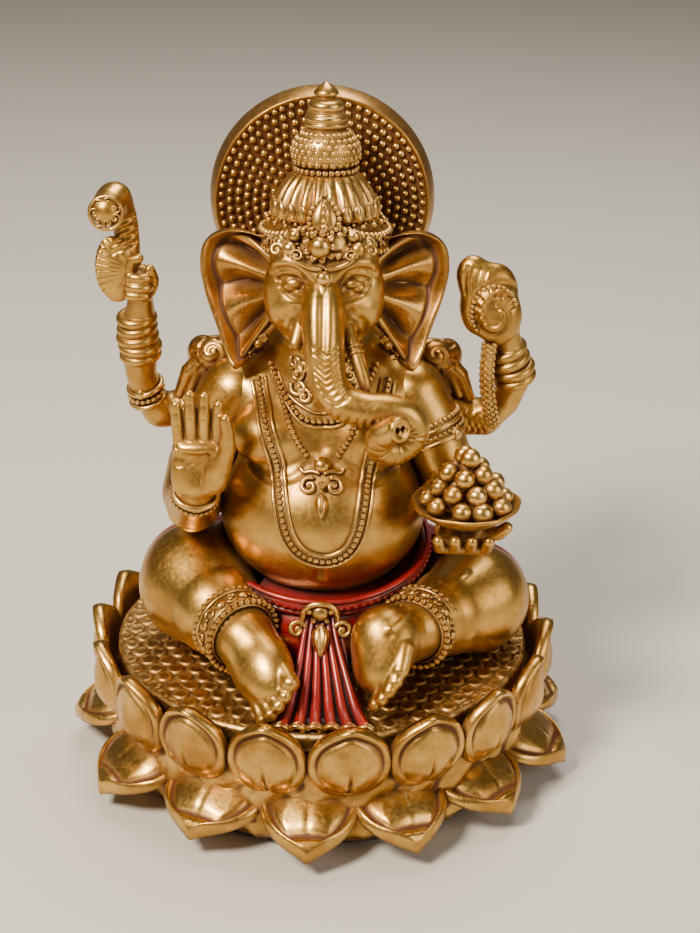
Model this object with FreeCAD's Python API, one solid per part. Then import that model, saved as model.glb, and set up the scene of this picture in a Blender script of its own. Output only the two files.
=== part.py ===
"""Seated elephant-headed deity statuette on a lotus throne, as cast pieces that are bonded together.

Millimetres. The origin is the centre of the resting face, +Z is up and the figure faces -Y.
Left and right are the figure's own, so its right side is at negative X.
"""
import FreeCAD
import Part

import math
import os

from FreeCAD import Matrix, Rotation, Vector

# ---------------------------------------------------------------- driving dimensions
FELT_R = 28.5
FELT_T = 0.8
CORE_TOP = 15.5
SEAT_R = 30.0
SEAT_Z = 18.0

PETAL_ROOT_R = 24.0
LOWER_TIP_R = 37.5
LOWER_WIDE_R = 31.5
LOWER_HALF_MAX = 7.3
LOWER_DOME_R = 15.0
LOWER_THICK = 1.9
LOWER_CREST = Vector(26.0, 0, 10.1)
UPPER_COUNT = 18
UPPER_DOME_R = 14.0
UPPER_THICK = 1.9
UPPER_BELLY_R = 33.6
UPPER_HALF = 5.2
UPPER_FOOT_Z = 9.4
UPPER_TOP_Z = 20.7

TORSO_Y = -2.0
BREAST_CENTRE = Vector(7.2, -9.3, 52.0)
BREAST_R = 5.0
NECK_TOP = 66.5
HEAD_CENTRE = Vector(0, -3.5, 73.2)
CROWN_FOOT = Vector(0, -1.4, 78.2)
CROWN_LEAN = 3.0
CROWN_SIT = 1.0
CROWN_BAND_H = 2.4
CROWN_DOME_H = 10.2
FINIAL_H = 21.6
HALO_CENTRE = Vector(-0.6, 9.2, 81.5)
HALO_R = 15.7
HALO_T = 4.0
HALO_DISH = 0.7
HALO_RIM = 1.5
STUD_R = 0.5
BOWL_CENTRE = Vector(19.5, -15.4, 45.6)
BOWL_R = 8.0
SWEET_R = 1.35

# Directions of the lower petals, in degrees from the front towards the figure's left.
LOWER_DIRECTIONS = [-90, -56, -28, -2, 21.5, 47, 73.5, 101, 129, 157, 185, 213, 241.5]
UPPER_FIRST = -12.3

BUILT = {}


# ---------------------------------------------------------------- building blocks
def ball(centre, radius):
    return Part.makeSphere(radius, Vector(*centre))


def ellipsoid(centre, radii, tilt_x=0.0, turn_z=0.0):
    """A unit sphere stretched to radii, tilted about X, turned about Z, then moved."""
    stretch = Matrix()
    stretch.scale(*radii)
    shape = Part.makeSphere(1.0).transformGeometry(stretch)
    shape.rotate(Vector(), Vector(1, 0, 0), tilt_x)
    shape.rotate(Vector(), Vector(0, 0, 1), turn_z)
    shape.translate(Vector(*centre))
    return shape


def cone_between(a, b, ra, rb):
    along = b - a
    if abs(ra - rb) < 0.01:
        return Part.makeCylinder(ra, along.Length, a, along)
    return Part.makeCone(ra, rb, along.Length, a, along)


def limb(points, radii):
    """A tapering limb: a ball at each point, with a cone from each to the next."""
    places = [Vector(*p) for p in points]
    blocks = [Part.makeSphere(r * 1.03, p) for p, r in zip(places, radii)]
    for i in range(len(places) - 1):
        blocks.append(cone_between(places[i], places[i + 1], radii[i], radii[i + 1]))
    return blocks[0].fuse(blocks[1:])


def turned(profile, centre=(0, 0), smooth=False):
    """A solid of revolution about a vertical axis, from (radius, height) points that start and end on it."""
    points = [Vector(r, 0, z) for r, z in profile]
    if smooth:
        curve = Part.BSplineCurve()
        curve.interpolate(points)
        edges = [curve.toShape(), Part.makeLine(points[-1], points[0])]
        wire = Part.Wire(edges)
    else:
        wire = Part.makePolygon(points + [points[0]])
    solid = Part.Face(wire).revolve(Vector(), Vector(0, 0, 1), 360)
    solid.translate(Vector(centre[0], centre[1], 0))
    return solid


def prism(points, depth, direction):
    """A spline outline pushed along direction."""
    curve = Part.BSplineCurve()
    curve.interpolate(points, PeriodicFlag=True)
    face = Part.Face(Part.Wire(curve.toShape()))
    return face.extrude(direction * depth)


def ring_band(centre, axis, inner, outer, length):
    """A plain hoop centred on a limb, lying across axis."""
    way = Vector(*axis)
    way.normalize()
    foot = Vector(*centre) - way * (length / 2)
    return Part.makeCylinder(outer, length, foot, way).cut(
        Part.makeCylinder(inner, length, foot, way)
    )


def chain(points, radius):
    """A cord of equal thickness through points."""
    return limb(points, [radius] * len(points))


def keep(name, shape, minus=(), biggest=True):
    """Trims shape by the pieces it is bonded to, and stores it under its node's name."""
    if minus:
        shape = shape.cut([BUILT[m] for m in minus])
    solids = [s for s in shape.Solids if s.Volume > 0.02]
    if biggest:
        solids = [max(solids, key=lambda s: s.Volume)]
    BUILT[name] = solids[0] if len(solids) == 1 else Part.makeCompound(solids)


def on_torso(x, z, lift=0.0):
    """The point on the front of the torso or breast at this x and height, standing proud by lift."""
    front = TORSO_Y - math.sqrt(max(torso_radius(z) ** 2 - x ** 2, 1.0))
    off_breast = (abs(x) - BREAST_CENTRE.x) ** 2 + (z - BREAST_CENTRE.z) ** 2
    if off_breast < BREAST_R ** 2:
        front = min(front, BREAST_CENTRE.y - math.sqrt(BREAST_R ** 2 - off_breast))
    return (x, front - lift, z)


# ---------------------------------------------------------------- lotus throne
def make_base():
    keep("felt_pad", Part.makeCylinder(FELT_R, FELT_T))
    core = turned(
        [(0, FELT_T), (29.0, FELT_T), (30.6, 2.6), (31.3, 6.0), (31.3, 11.0), (30.8, 14.0),
         (30.0, CORE_TOP), (0, CORE_TOP)]
    )
    keep("base_core", core)
    seat = Part.makeCylinder(SEAT_R, SEAT_Z - CORE_TOP, Vector(0, 0, CORE_TOP))
    rim = [e for e in seat.Edges if abs(e.CenterOfMass.z - SEAT_Z) < 0.01 and e.Length > 1]
    keep("seat_pad", seat.makeFillet(0.6, rim))


def shell_petal(outline, push, depth, dome_centre, dome_r, thick):
    """A cupped petal: the outline's prism, kept between two balls that share a centre."""
    body = prism(outline, depth, push)
    body = body.common(Part.makeSphere(dome_r, dome_centre))
    return body.cut(Part.makeSphere(dome_r - thick, dome_centre))


def lower_petal(half):
    outline = [
        Vector(PETAL_ROOT_R, 0, -4), Vector(PETAL_ROOT_R + 2.0, -half * 0.80, -4),
        Vector(LOWER_WIDE_R - 1.0, -half, -4), Vector(LOWER_WIDE_R + 3.2, -half * 0.66, -4),
        Vector(LOWER_TIP_R, 0, -4),
        Vector(LOWER_WIDE_R + 3.2, half * 0.66, -4), Vector(LOWER_WIDE_R - 1.0, half, -4),
        Vector(PETAL_ROOT_R + 2.0, half * 0.80, -4),
    ]
    dome = LOWER_CREST - Vector(0, 0, LOWER_DOME_R)
    return shell_petal(outline, Vector(0, 0, 1), 16, dome, LOWER_DOME_R, LOWER_THICK)


def upper_petal():
    middle = (UPPER_FOOT_Z + UPPER_TOP_Z) / 2
    rise = (UPPER_TOP_Z - UPPER_FOOT_Z) / 2
    outline = []
    for step in range(10):
        turn = 2 * math.pi * step / 10
        outline.append(Vector(26, UPPER_HALF * math.sin(turn), middle - rise * math.cos(turn)))
    dome = Vector(UPPER_BELLY_R - UPPER_DOME_R, 0, middle)
    return shell_petal(outline, Vector(1, 0, 0), 12, dome, UPPER_DOME_R, UPPER_THICK)


def turn_to(shape, degrees_from_front):
    """Turns a petal drawn along +X so that it points this far round from the front."""
    shape.rotate(Vector(), Vector(0, 0, 1), degrees_from_front - 90)
    return shape


def make_petals():
    count = len(LOWER_DIRECTIONS)
    for i, way in enumerate(LOWER_DIRECTIONS):
        after = (LOWER_DIRECTIONS[(i + 1) % count] - way) % 360
        before = (way - LOWER_DIRECTIONS[i - 1]) % 360
        room = LOWER_WIDE_R * math.tan(math.radians(min(after, before) / 2)) - 0.15
        petal = turn_to(lower_petal(min(LOWER_HALF_MAX, room)), way)
        keep(f"lower_petal_{i + 1:02d}", petal, ["base_core", "felt_pad"])
    for i in range(UPPER_COUNT):
        way = UPPER_FIRST + 360 / UPPER_COUNT * (i - 3)
        keep(f"upper_petal_{i + 1:02d}", turn_to(upper_petal(), way), ["base_core", "seat_pad"])


# ---------------------------------------------------------------- body
TORSO_PROFILE = [
    (0, 27.5), (9.0, 28.6), (13.4, 32.5), (14.7, 38.0), (14.2, 43.5), (12.4, 48.5),
    (11.9, 52.5), (11.6, 56.5), (9.2, 60.0), (5.4, 62.3), (4.9, NECK_TOP), (0, NECK_TOP),
]


def torso_radius(z):
    """The torso's radius at a height, read between the profile's points."""
    for (r0, z0), (r1, z1) in zip(TORSO_PROFILE, TORSO_PROFILE[1:]):
        if z0 <= z <= z1 and z1 > z0:
            return r0 + (r1 - r0) * (z - z0) / (z1 - z0)
    return TORSO_PROFILE[-1][0]


def make_torso():
    body = turned(TORSO_PROFILE, (0, TORSO_Y))
    breasts = [ball((side * BREAST_CENTRE.x, BREAST_CENTRE.y, BREAST_CENTRE.z), BREAST_R) for side in (-1, 1)]
    shoulders = [ellipsoid((side * 9.5, 0, 57.0), (4.5, 5.0, 4.2)) for side in (-1, 1)]
    keep("torso", body.fuse(breasts + shoulders))


def make_dhoti():
    lap = ellipsoid((0, 3.0, 23.0), (26.0, 17.5, 11.5))
    hips = ellipsoid((0, 4.0, 28.0), (17.5, 13.5, 9.0))
    above = Part.makeBox(80, 80, 40, Vector(-40, -40, SEAT_Z))
    keep("dhoti", lap.fuse(hips).common(above), ["torso"])


def make_legs():
    above = Part.makeBox(80, 80, 40, Vector(-40, -40, SEAT_Z))
    right = limb(
        [(-17.8, -5.2, 27.6), (-14.8, -11.5, 27.0), (-11.6, -16.6, 26.4), (-8.8, -20.2, 25.2), (-6.6, -25.2, 21.9)],
        [8.2, 6.6, 4.8, 4.5, 3.0],
    )
    keep("right_leg", right.common(above), ["torso", "dhoti"])
    left = limb(
        [(22.2, -4.2, 26.2), (17.5, -10.5, 26.6), (14.0, -15.2, 27.2), (9.3, -19.6, 26.6), (8.0, -22.2, 22.6)],
        [6.9, 5.9, 4.7, 4.2, 3.4],
    )
    keep("left_leg", left.common(above), ["torso", "dhoti"])
    bands = [
        ring_band((-12.6, -15.0, 26.6), (5.8, -9.2, -1.0), 4.9, 6.3, 4.4),
        ring_band((15.0, -13.8, 27.0), (-6.8, -9.4, 0.9), 4.9, 6.1, 4.2),
    ]
    keep("anklets", Part.makeCompound(bands), ["right_leg", "left_leg", "dhoti"], biggest=False)


def make_sash():
    top = Part.makePolygon([
        Vector(-2.2, -16.4, 31.0), Vector(2.2, -16.4, 31.0), Vector(2.2, -14.4, 31.0),
        Vector(-2.2, -14.4, 31.0), Vector(-2.2, -16.4, 31.0),
    ])
    foot = Part.makePolygon([
        Vector(-5.6, -29.2, SEAT_Z), Vector(7.0, -29.2, SEAT_Z), Vector(7.0, -25.6, SEAT_Z),
        Vector(-5.6, -25.6, SEAT_Z), Vector(-5.6, -29.2, SEAT_Z),
    ])
    fan = Part.makeLoft([foot, top], True, True)
    keep("sash_pleats", fan, ["torso", "dhoti", "right_leg", "left_leg"])
    buckle = ellipsoid((0, -17.6, 29.6), (3.5, 1.5, 1.9))
    drop = limb([(0, -18.2, 28.4), (0.1, -19.4, 26.4), (0.2, -20.4, 24.6)], [0.7, 1.1, 0.4])
    keep("waist_buckle", buckle.fuse(drop), ["torso", "dhoti", "sash_pleats"])
    belt = Part.makeTorus(15.0, 1.1)
    belt.rotate(Vector(), Vector(1, 0, 0), 13)
    belt.translate(Vector(0, TORSO_Y + 0.3, 34.2))
    keep("waist_belt", belt, ["torso", "dhoti", "sash_pleats", "waist_buckle", "right_leg", "left_leg"])


def make_arms():
    keep("right_front_arm", limb(
        [(-12.6, -0.5, 56.0), (-17.6, -2.0, 47.5), (-18.3, -5.0, 42.0), (-17.6, -11.8, 45.2),
         (-17.2, -14.2, 49.2), (-16.9, -15.2, 53.2), (-16.8, -15.6, 58.6)],
        [4.6, 4.0, 3.7, 2.7, 2.5, 3.3, 2.6],
    ), ["torso", "dhoti", "right_leg"])
    keep("left_front_arm", limb(
        [(12.6, -0.5, 56.0), (16.4, -2.0, 49.0), (18.6, -4.0, 43.0), (19.0, -10.0, 40.4),
         (19.0, -14.2, 40.2)],
        [4.6, 4.0, 3.7, 2.9, 3.4],
    ), ["torso", "dhoti", "left_leg", "trunk"])
    keep("right_rear_arm", limb(
        [(-11.6, 4.4, 55.6), (-18.0, 4.8, 52.4), (-23.0, 4.4, 51.2), (-25.0, 3.4, 54.0),
         (-25.9, 2.2, 57.6), (-25.7, 1.0, 62.6), (-25.4, 0.6, 67.6), (-25.2, 0.2, 71.8)],
        [3.5, 2.9, 2.5, 2.2, 2.2, 3.0, 2.1, 2.6],
    ), ["torso", "right_front_arm"])
    keep("left_rear_arm", limb(
        [(11.6, 4.4, 54.8), (17.5, 4.8, 52.2), (22.8, 4.6, 51.0), (26.0, 3.6, 53.8),
         (26.8, 2.4, 57.2), (26.0, 1.2, 61.2), (25.2, 0.4, 65.0), (24.6, 0.2, 67.6)],
        [3.5, 3.0, 2.6, 2.2, 2.0, 2.8, 2.1, 2.3],
    ), ["torso", "left_front_arm"])


# ---------------------------------------------------------------- head
TRUNK_PATH = [
    (0, -9.5, 74.2), (0, -13.0, 71.4), (0, -15.6, 67.0), (0.9, -17.0, 63.0), (3.8, -17.7, 60.6),
    (7.8, -17.8, 60.3), (11.2, -17.6, 59.2), (12.7, -17.4, 56.8), (11.3, -17.6, 54.6),
    (8.9, -18.2, 54.3), (7.4, -19.4, 55.9), (8.3, -20.3, 57.7), (9.8, -20.6, 58.5),
]
TRUNK_RADII = [3.9, 3.1, 2.55, 2.45, 2.3, 2.1, 1.95, 1.85, 1.75, 1.7, 1.6, 1.55, 1.5]


def make_head():
    skull = ellipsoid(HEAD_CENTRE, (8.0, 8.8, 8.6))
    jaw = ellipsoid((0, -4.5, 67.5), (5.6, 5.8, 4.6))
    brows = [ball((side * 3.4, -8.6, 76.2), 3.9) for side in (-1, 1)]
    keep("head", skull.fuse([jaw] + brows), ["torso"])
    keep("trunk", limb(TRUNK_PATH, TRUNK_RADII), ["torso", "head"])
    whole_tusk = limb([(3.0, -10.6, 69.0), (4.3, -14.2, 65.2), (5.5, -15.6, 62.6)], [1.25, 1.0, 0.55])
    broken_tusk = limb([(-3.0, -10.6, 69.0), (-3.9, -13.4, 67.0)], [1.2, 1.0])
    keep("tusks", whole_tusk.fuse(broken_tusk), ["torso", "head", "trunk"], biggest=False)


def ear(side):
    """A thin fan that spreads from the temple and droops to a point."""
    edge = [(7.2, 77.4), (11.0, 79.6), (14.8, 79.2), (17.2, 76.0), (16.4, 71.0), (14.6, 66.4),
            (12.4, 62.2), (10.0, 64.0), (7.6, 68.2), (6.6, 73.0)]
    plate = prism([Vector(side * x, 0, z) for x, z in edge], 1.5, Vector(0, 1, 0))
    plate.rotate(Vector(side * 7, 0, 72), Vector(0, 0, 1), side * 14)
    plate.rotate(Vector(0, 0, 76), Vector(1, 0, 0), -14)
    plate.translate(Vector(0, -3.6, 0))
    return plate


def make_ears():
    keep("right_ear", ear(-1), ["head", "torso", "trunk", "right_front_arm"])
    keep("left_ear", ear(1), ["head", "torso", "trunk", "left_front_arm"])


def crown_part(profile):
    """A turned part of the crown, drawn upwards from the crown's foot and leant back with it."""
    shape = turned(profile)
    shape.rotate(Vector(), Vector(1, 0, 0), -CROWN_LEAN)
    shape.translate(CROWN_FOOT)
    return shape


def make_crown():
    band = crown_part([(0, -CROWN_SIT), (8.4, -CROWN_SIT), (9.0, 0.2), (8.7, CROWN_BAND_H), (0, CROWN_BAND_H)])
    keep("crown_band", band, ["head", "right_ear", "left_ear"])
    dome = crown_part([(0, CROWN_BAND_H), (7.3, CROWN_BAND_H), (7.3, 3.6), (7.8, 4.2), (7.0, 6.6), (6.0, 8.2),
                       (4.3, CROWN_DOME_H), (0, CROWN_DOME_H)])
    tip = crown_part([(0, CROWN_DOME_H), (3.9, CROWN_DOME_H), (4.5, 12.0), (4.4, 13.4), (3.1, 15.4), (2.6, 15.6),
                      (2.9, 16.2), (2.7, 17.2), (2.0, 17.6), (2.3, 18.6), (1.3, 19.6), (1.7, 20.1), (0.5, 21.4),
                      (0, FINIAL_H)])
    keep("crown_spire", dome.fuse(tip), ["crown_band", "head"])


def make_halo():
    front = HALO_CENTRE - Vector(0, HALO_T / 2, 0)
    disc = Part.makeCylinder(HALO_R, HALO_T, front, Vector(0, 1, 0))
    rim = [e for e in disc.Edges if abs(e.CenterOfMass.y - front.y) < 0.01 and e.Length > 1]
    disc = disc.makeChamfer(HALO_RIM, rim)
    dish = Part.makeCylinder(HALO_R - HALO_RIM, HALO_DISH, front, Vector(0, 1, 0))
    neck_stay = Part.makeBox(20, 3.0, 14, Vector(-10, HALO_CENTRE.y - 1.6, 54))
    studs = []
    face_y = front.y + HALO_DISH
    for ring, count in ((13.2, 44), (11.2, 38)):
        for step in range(count):
            turn = 2 * math.pi * step / count
            if math.sin(turn) > -0.15:
                place = HALO_CENTRE + Vector(ring * math.cos(turn), 0, ring * math.sin(turn))
                studs.append(ball((place.x, face_y, place.z), STUD_R))
    plate = disc.cut(dish).fuse([neck_stay] + studs)
    keep("halo", plate, ["torso", "head", "crown_band", "crown_spire", "right_ear", "left_ear",
                         "right_rear_arm", "left_rear_arm"])


# ---------------------------------------------------------------- ornaments and offerings
def make_jewellery():
    rope = [on_torso(x, z, 0.4) for x, z in (
        (-8.8, 59.0), (-7.8, 56.5), (-7.0, 53.5), (-6.4, 50.0), (-5.9, 47.0), (-5.4, 44.0), (-4.4, 41.4),
        (-2.6, 39.4), (0, 38.7), (2.6, 39.4), (4.4, 41.4), (5.4, 44.0), (5.9, 47.0), (6.4, 50.0),
        (7.0, 53.5), (7.8, 56.5), (8.8, 59.0))]
    short = [on_torso(x, z, 0.4) for x, z in (
        (-6.6, 60.0), (-4.6, 56.4), (-2.6, 53.0), (0, 50.6), (2.6, 53.0), (4.6, 56.4), (6.6, 60.0))]
    gem = ellipsoid(on_torso(0, 47.6, 0.6), (1.9, 0.9, 2.7))
    strings = chain(rope, 0.9).fuse([chain(short, 0.7), gem])
    keep("necklaces", strings, ["torso", "right_front_arm", "left_front_arm", "trunk", "head", "left_ear",
                                "right_ear", "tusks"], biggest=False)
    pads = [ellipsoid((side * 15.4, 2.4, 60.6), (3.0, 2.6, 2.6)) for side in (-1, 1)]
    keep("shoulder_ornaments", Part.makeCompound(pads),
         ["torso", "right_front_arm", "left_front_arm", "right_rear_arm", "left_rear_arm",
          "right_ear", "left_ear", "halo"], biggest=False)


def make_offerings():
    bowl = turned([(0, 42.9), (3.2, 42.9), (5.6, 43.9), (BOWL_R, BOWL_CENTRE.z),
                   (BOWL_R, BOWL_CENTRE.z + 0.5), (5.4, 44.7), (0, 44.0)], (BOWL_CENTRE.x, BOWL_CENTRE.y))
    keep("sweet_bowl", bowl, ["left_front_arm", "left_leg", "trunk"])
    sweets = []
    for layer, (ring, count, height) in enumerate(
            ((5.9, 12, 46.6), (3.2, 7, 46.3), (4.3, 9, 48.6), (2.1, 5, 50.4), (0.0, 1, 52.4), (0.0, 1, 48.2))):
        for step in range(count):
            turn = 2 * math.pi * (step + 0.5 * (layer % 2)) / count
            place = Vector(BOWL_CENTRE.x + ring * math.cos(turn), BOWL_CENTRE.y + ring * math.sin(turn), height)
            sweets.append(ball(place, SWEET_R))
    keep("sweets", Part.makeCompound(sweets), ["sweet_bowl", "torso", "trunk", "left_front_arm"], biggest=False)


def make_attributes():
    drum = Part.makeCylinder(2.2, 4.0, Vector(-29.2, -3.9, 82.6), Vector(0, 1, 0))
    handle = limb([(-28.6, 0.2, 82.2), (-27.2, 0.7, 77.0), (-26.2, 0.1, 71.5)], [1.9, 1.5, 1.2])
    edge = [(-27.2, 78.0), (-30.2, 78.2), (-31.2, 74.4), (-30.5, 70.6), (-28.4, 69.6), (-26.6, 72.6)]
    blade = prism([Vector(x, -1.4, z) for x, z in edge], 2.0, Vector(0, 1, 0))
    keep("ritual_axe", drum.fuse([handle, blade]), ["right_rear_arm"])
    edge = [(19.8, 75.4), (22.2, 75.0), (25.2, 72.2), (26.9, 68.6), (25.8, 65.8), (23.2, 65.4), (20.2, 68.2), (18.8, 72.4)]
    bud = prism([Vector(x, -2.2, z) for x, z in edge], 3.8, Vector(0, 1, 0))
    stem = limb([(22.8, -1.6, 65.0), (22.6, -1.6, 61.0), (22.8, -0.6, 56.0), (23.6, 0.8, 52.4)],
                [1.0, 0.9, 0.9, 0.8])
    keep("lotus_bud", bud.fuse(stem), ["left_rear_arm"])


def main():
    make_base()
    make_petals()
    make_torso()
    make_dhoti()
    make_legs()
    make_sash()
    make_head()
    make_arms()
    make_ears()
    make_crown()
    make_halo()
    make_jewellery()
    make_offerings()
    make_attributes()
    os.makedirs("parts", exist_ok=True)
    for name, shape in BUILT.items():
        shape.exportStep(f"parts/{name}.step")
    print(len(BUILT), "nodes")


main()
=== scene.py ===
"""Looks of a seated elephant-headed deity statuette on a lotus throne, cast in resin and painted gold.

The sculpted pieces are modelled in voxel clay: soft shapes are blended into a block of distances, carved
and creased, and skinned with quads. Beads, rails, scrolls, petals and studs are built straight as meshes.
Lengths in this file are millimetres until a mesh is made. The figure faces -Y and its right side is at -X.
"""

import math

import bpy
import numpy as np
from mathutils import Matrix, Vector


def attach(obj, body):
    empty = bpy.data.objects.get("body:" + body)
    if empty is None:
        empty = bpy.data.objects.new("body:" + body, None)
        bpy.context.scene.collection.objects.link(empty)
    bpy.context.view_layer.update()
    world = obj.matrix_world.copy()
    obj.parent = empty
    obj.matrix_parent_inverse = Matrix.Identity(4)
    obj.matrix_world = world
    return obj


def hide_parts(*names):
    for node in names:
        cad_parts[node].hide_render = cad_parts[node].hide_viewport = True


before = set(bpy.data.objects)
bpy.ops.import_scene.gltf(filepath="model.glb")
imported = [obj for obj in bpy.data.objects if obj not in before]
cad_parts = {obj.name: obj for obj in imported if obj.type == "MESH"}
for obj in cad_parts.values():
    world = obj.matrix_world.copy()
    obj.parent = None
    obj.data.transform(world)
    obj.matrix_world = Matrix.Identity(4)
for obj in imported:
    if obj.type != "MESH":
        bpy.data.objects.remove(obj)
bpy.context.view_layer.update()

MM = 0.001
COARSE = 1.0
FAR = 4.0            # a distance that counts as empty space
REACH = 3.2          # how far round a shape the clay is measured
HOLLOW_ROUNDS = 14   # smoothing rounds behind the wash in the hollows

SEAT_Z = 18.0
SEAT_R = 30.0
RNG = np.random.default_rng(7)


# ---------------------------------------------------------------- small vector helpers
def vec(*p):
    return np.array(p, float)


def unit(v):
    v = np.asarray(v, float)
    return v / np.maximum(np.linalg.norm(v, axis=-1, keepdims=True), 1e-9)


def basis(x_axis, near_z):
    """Columns are a frame whose first axis is x_axis and whose third is as near near_z as it can be."""
    x = unit(x_axis)
    y = unit(np.cross(near_z, x))
    return np.stack([x, y, np.cross(x, y)], axis=1)


def turned(x=0.0, y=0.0, z=0.0):
    """A rotation about X, then Y, then Z, in degrees."""
    m = Matrix.Rotation(math.radians(z), 3, "Z") @ Matrix.Rotation(math.radians(y), 3, "Y")
    return np.array(m @ Matrix.Rotation(math.radians(x), 3, "X"))


def curve(points, count):
    """count points along a smooth curve through points, which may carry more numbers than a place."""
    p = np.asarray(points, float)
    last = len(p) - 1
    t = np.linspace(0, last, count)
    i = np.minimum(t.astype(int), last - 1)
    f = (t - i)[:, None]
    a, b, c, d = (p[np.clip(i + k, 0, last)] for k in (-1, 0, 1, 2))
    return 0.5 * (2 * b + (c - a) * f + (2 * a - 5 * b + 4 * c - d) * f ** 2
                  + (3 * b - a - 3 * c + d) * f ** 3)


def spaced(line, gap, closed=False):
    """Points a steady gap apart along a line."""
    if closed:
        line = np.vstack([line, line[:1]])
    run = np.concatenate([[0], np.cumsum(np.linalg.norm(np.diff(line, axis=0), axis=1))])
    count = max(2, int(round(run[-1] / gap)) + (0 if closed else 1))
    at = np.linspace(0, run[-1], count, endpoint=not closed)
    return np.stack([np.interp(at, run, line[:, k]) for k in range(line.shape[1])], axis=1)


def mirror(points):
    """The same points on the figure's other side."""
    p = np.array(points, float)
    p[..., 0] *= -1
    return p


# ---------------------------------------------------------------- voxel clay
def soft_min(a, b, k):
    if k <= 0:
        return np.minimum(a, b)
    h = np.maximum(k - np.abs(a - b), 0) / k
    return np.minimum(a, b) - h * h * (k / 4)


def egg(centre, radii, turn=None):
    """An ellipsoid, with its own axes turned."""
    c = np.asarray(centre, float)
    r = np.broadcast_to(np.asarray(radii, float), 3)
    m = np.eye(3) if turn is None else turn
    half = np.sqrt(((m * r) ** 2).sum(axis=1))

    def distance(x, y, z):
        dx, dy, dz = x - c[0], y - c[1], z - c[2]
        near = far = 0
        for k in range(3):
            q = (m[0, k] * dx + m[1, k] * dy + m[2, k] * dz) / r[k]
            near = near + q * q
            far = far + (q / r[k]) ** 2
        near = np.sqrt(near)
        return near * (near - 1) / np.maximum(np.sqrt(far), 1e-4)

    return [(c - half, c + half, distance)]


def slab(centre, half, turn=None, bevel=0.5):
    """A box with rounded edges."""
    c = np.asarray(centre, float)
    h = np.asarray(half, float)
    m = np.eye(3) if turn is None else turn
    reach = (np.abs(m) * h).sum(axis=1)

    def distance(x, y, z):
        dx, dy, dz = x - c[0], y - c[1], z - c[2]
        q = [np.abs(m[0, k] * dx + m[1, k] * dy + m[2, k] * dz) - (h[k] - bevel) for k in range(3)]
        outside = np.sqrt(sum(np.maximum(v, 0) ** 2 for v in q))
        return outside + np.minimum(np.maximum(np.maximum(q[0], q[1]), q[2]), 0) - bevel

    return [(c - reach, c + reach, distance)]


def rod(points, radii):
    """A limb through points with a radius at each."""
    p = np.asarray(points, float)
    r = np.broadcast_to(np.asarray(radii, float), len(p))
    parts = []
    for a, b, ra, rb in zip(p[:-1], p[1:], r[:-1], r[1:]):
        def distance(x, y, z, a=a, b=b, ra=ra, rb=rb):
            ab = b - a
            dx, dy, dz = x - a[0], y - a[1], z - a[2]
            h = np.clip((dx * ab[0] + dy * ab[1] + dz * ab[2]) / max(ab @ ab, 1e-9), 0, 1)
            dx, dy, dz = dx - h * ab[0], dy - h * ab[1], dz - h * ab[2]
            return np.sqrt(dx * dx + dy * dy + dz * dz) - (ra + h * (rb - ra))
        big = max(ra, rb)
        parts.append((np.minimum(a, b) - big, np.maximum(a, b) + big, distance))
    return parts


def hoop(centre, axis, ring_r, tube_r):
    """A torus lying across axis."""
    c = np.asarray(centre, float)
    n = unit(axis)
    reach = ring_r + 2 * tube_r

    def distance(x, y, z):
        dx, dy, dz = x - c[0], y - c[1], z - c[2]
        h = dx * n[0] + dy * n[1] + dz * n[2]
        out = np.sqrt(np.maximum(dx * dx + dy * dy + dz * dz - h * h, 0)) - ring_r
        return (np.sqrt((out / tube_r) ** 2 + (h / tube_r) ** 2) - 1) * tube_r

    return [(c - reach, c + reach, distance)]


def half_space(point, normal):
    """Everything on the far side of a plane from its normal."""
    p, n = np.asarray(point, float), unit(normal)

    def distance(x, y, z):
        return (x - p[0]) * n[0] + (y - p[1]) * n[1] + (z - p[2]) * n[2]

    return [(vec(-99, -99, -99), vec(99, 99, 199), distance)]


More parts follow.
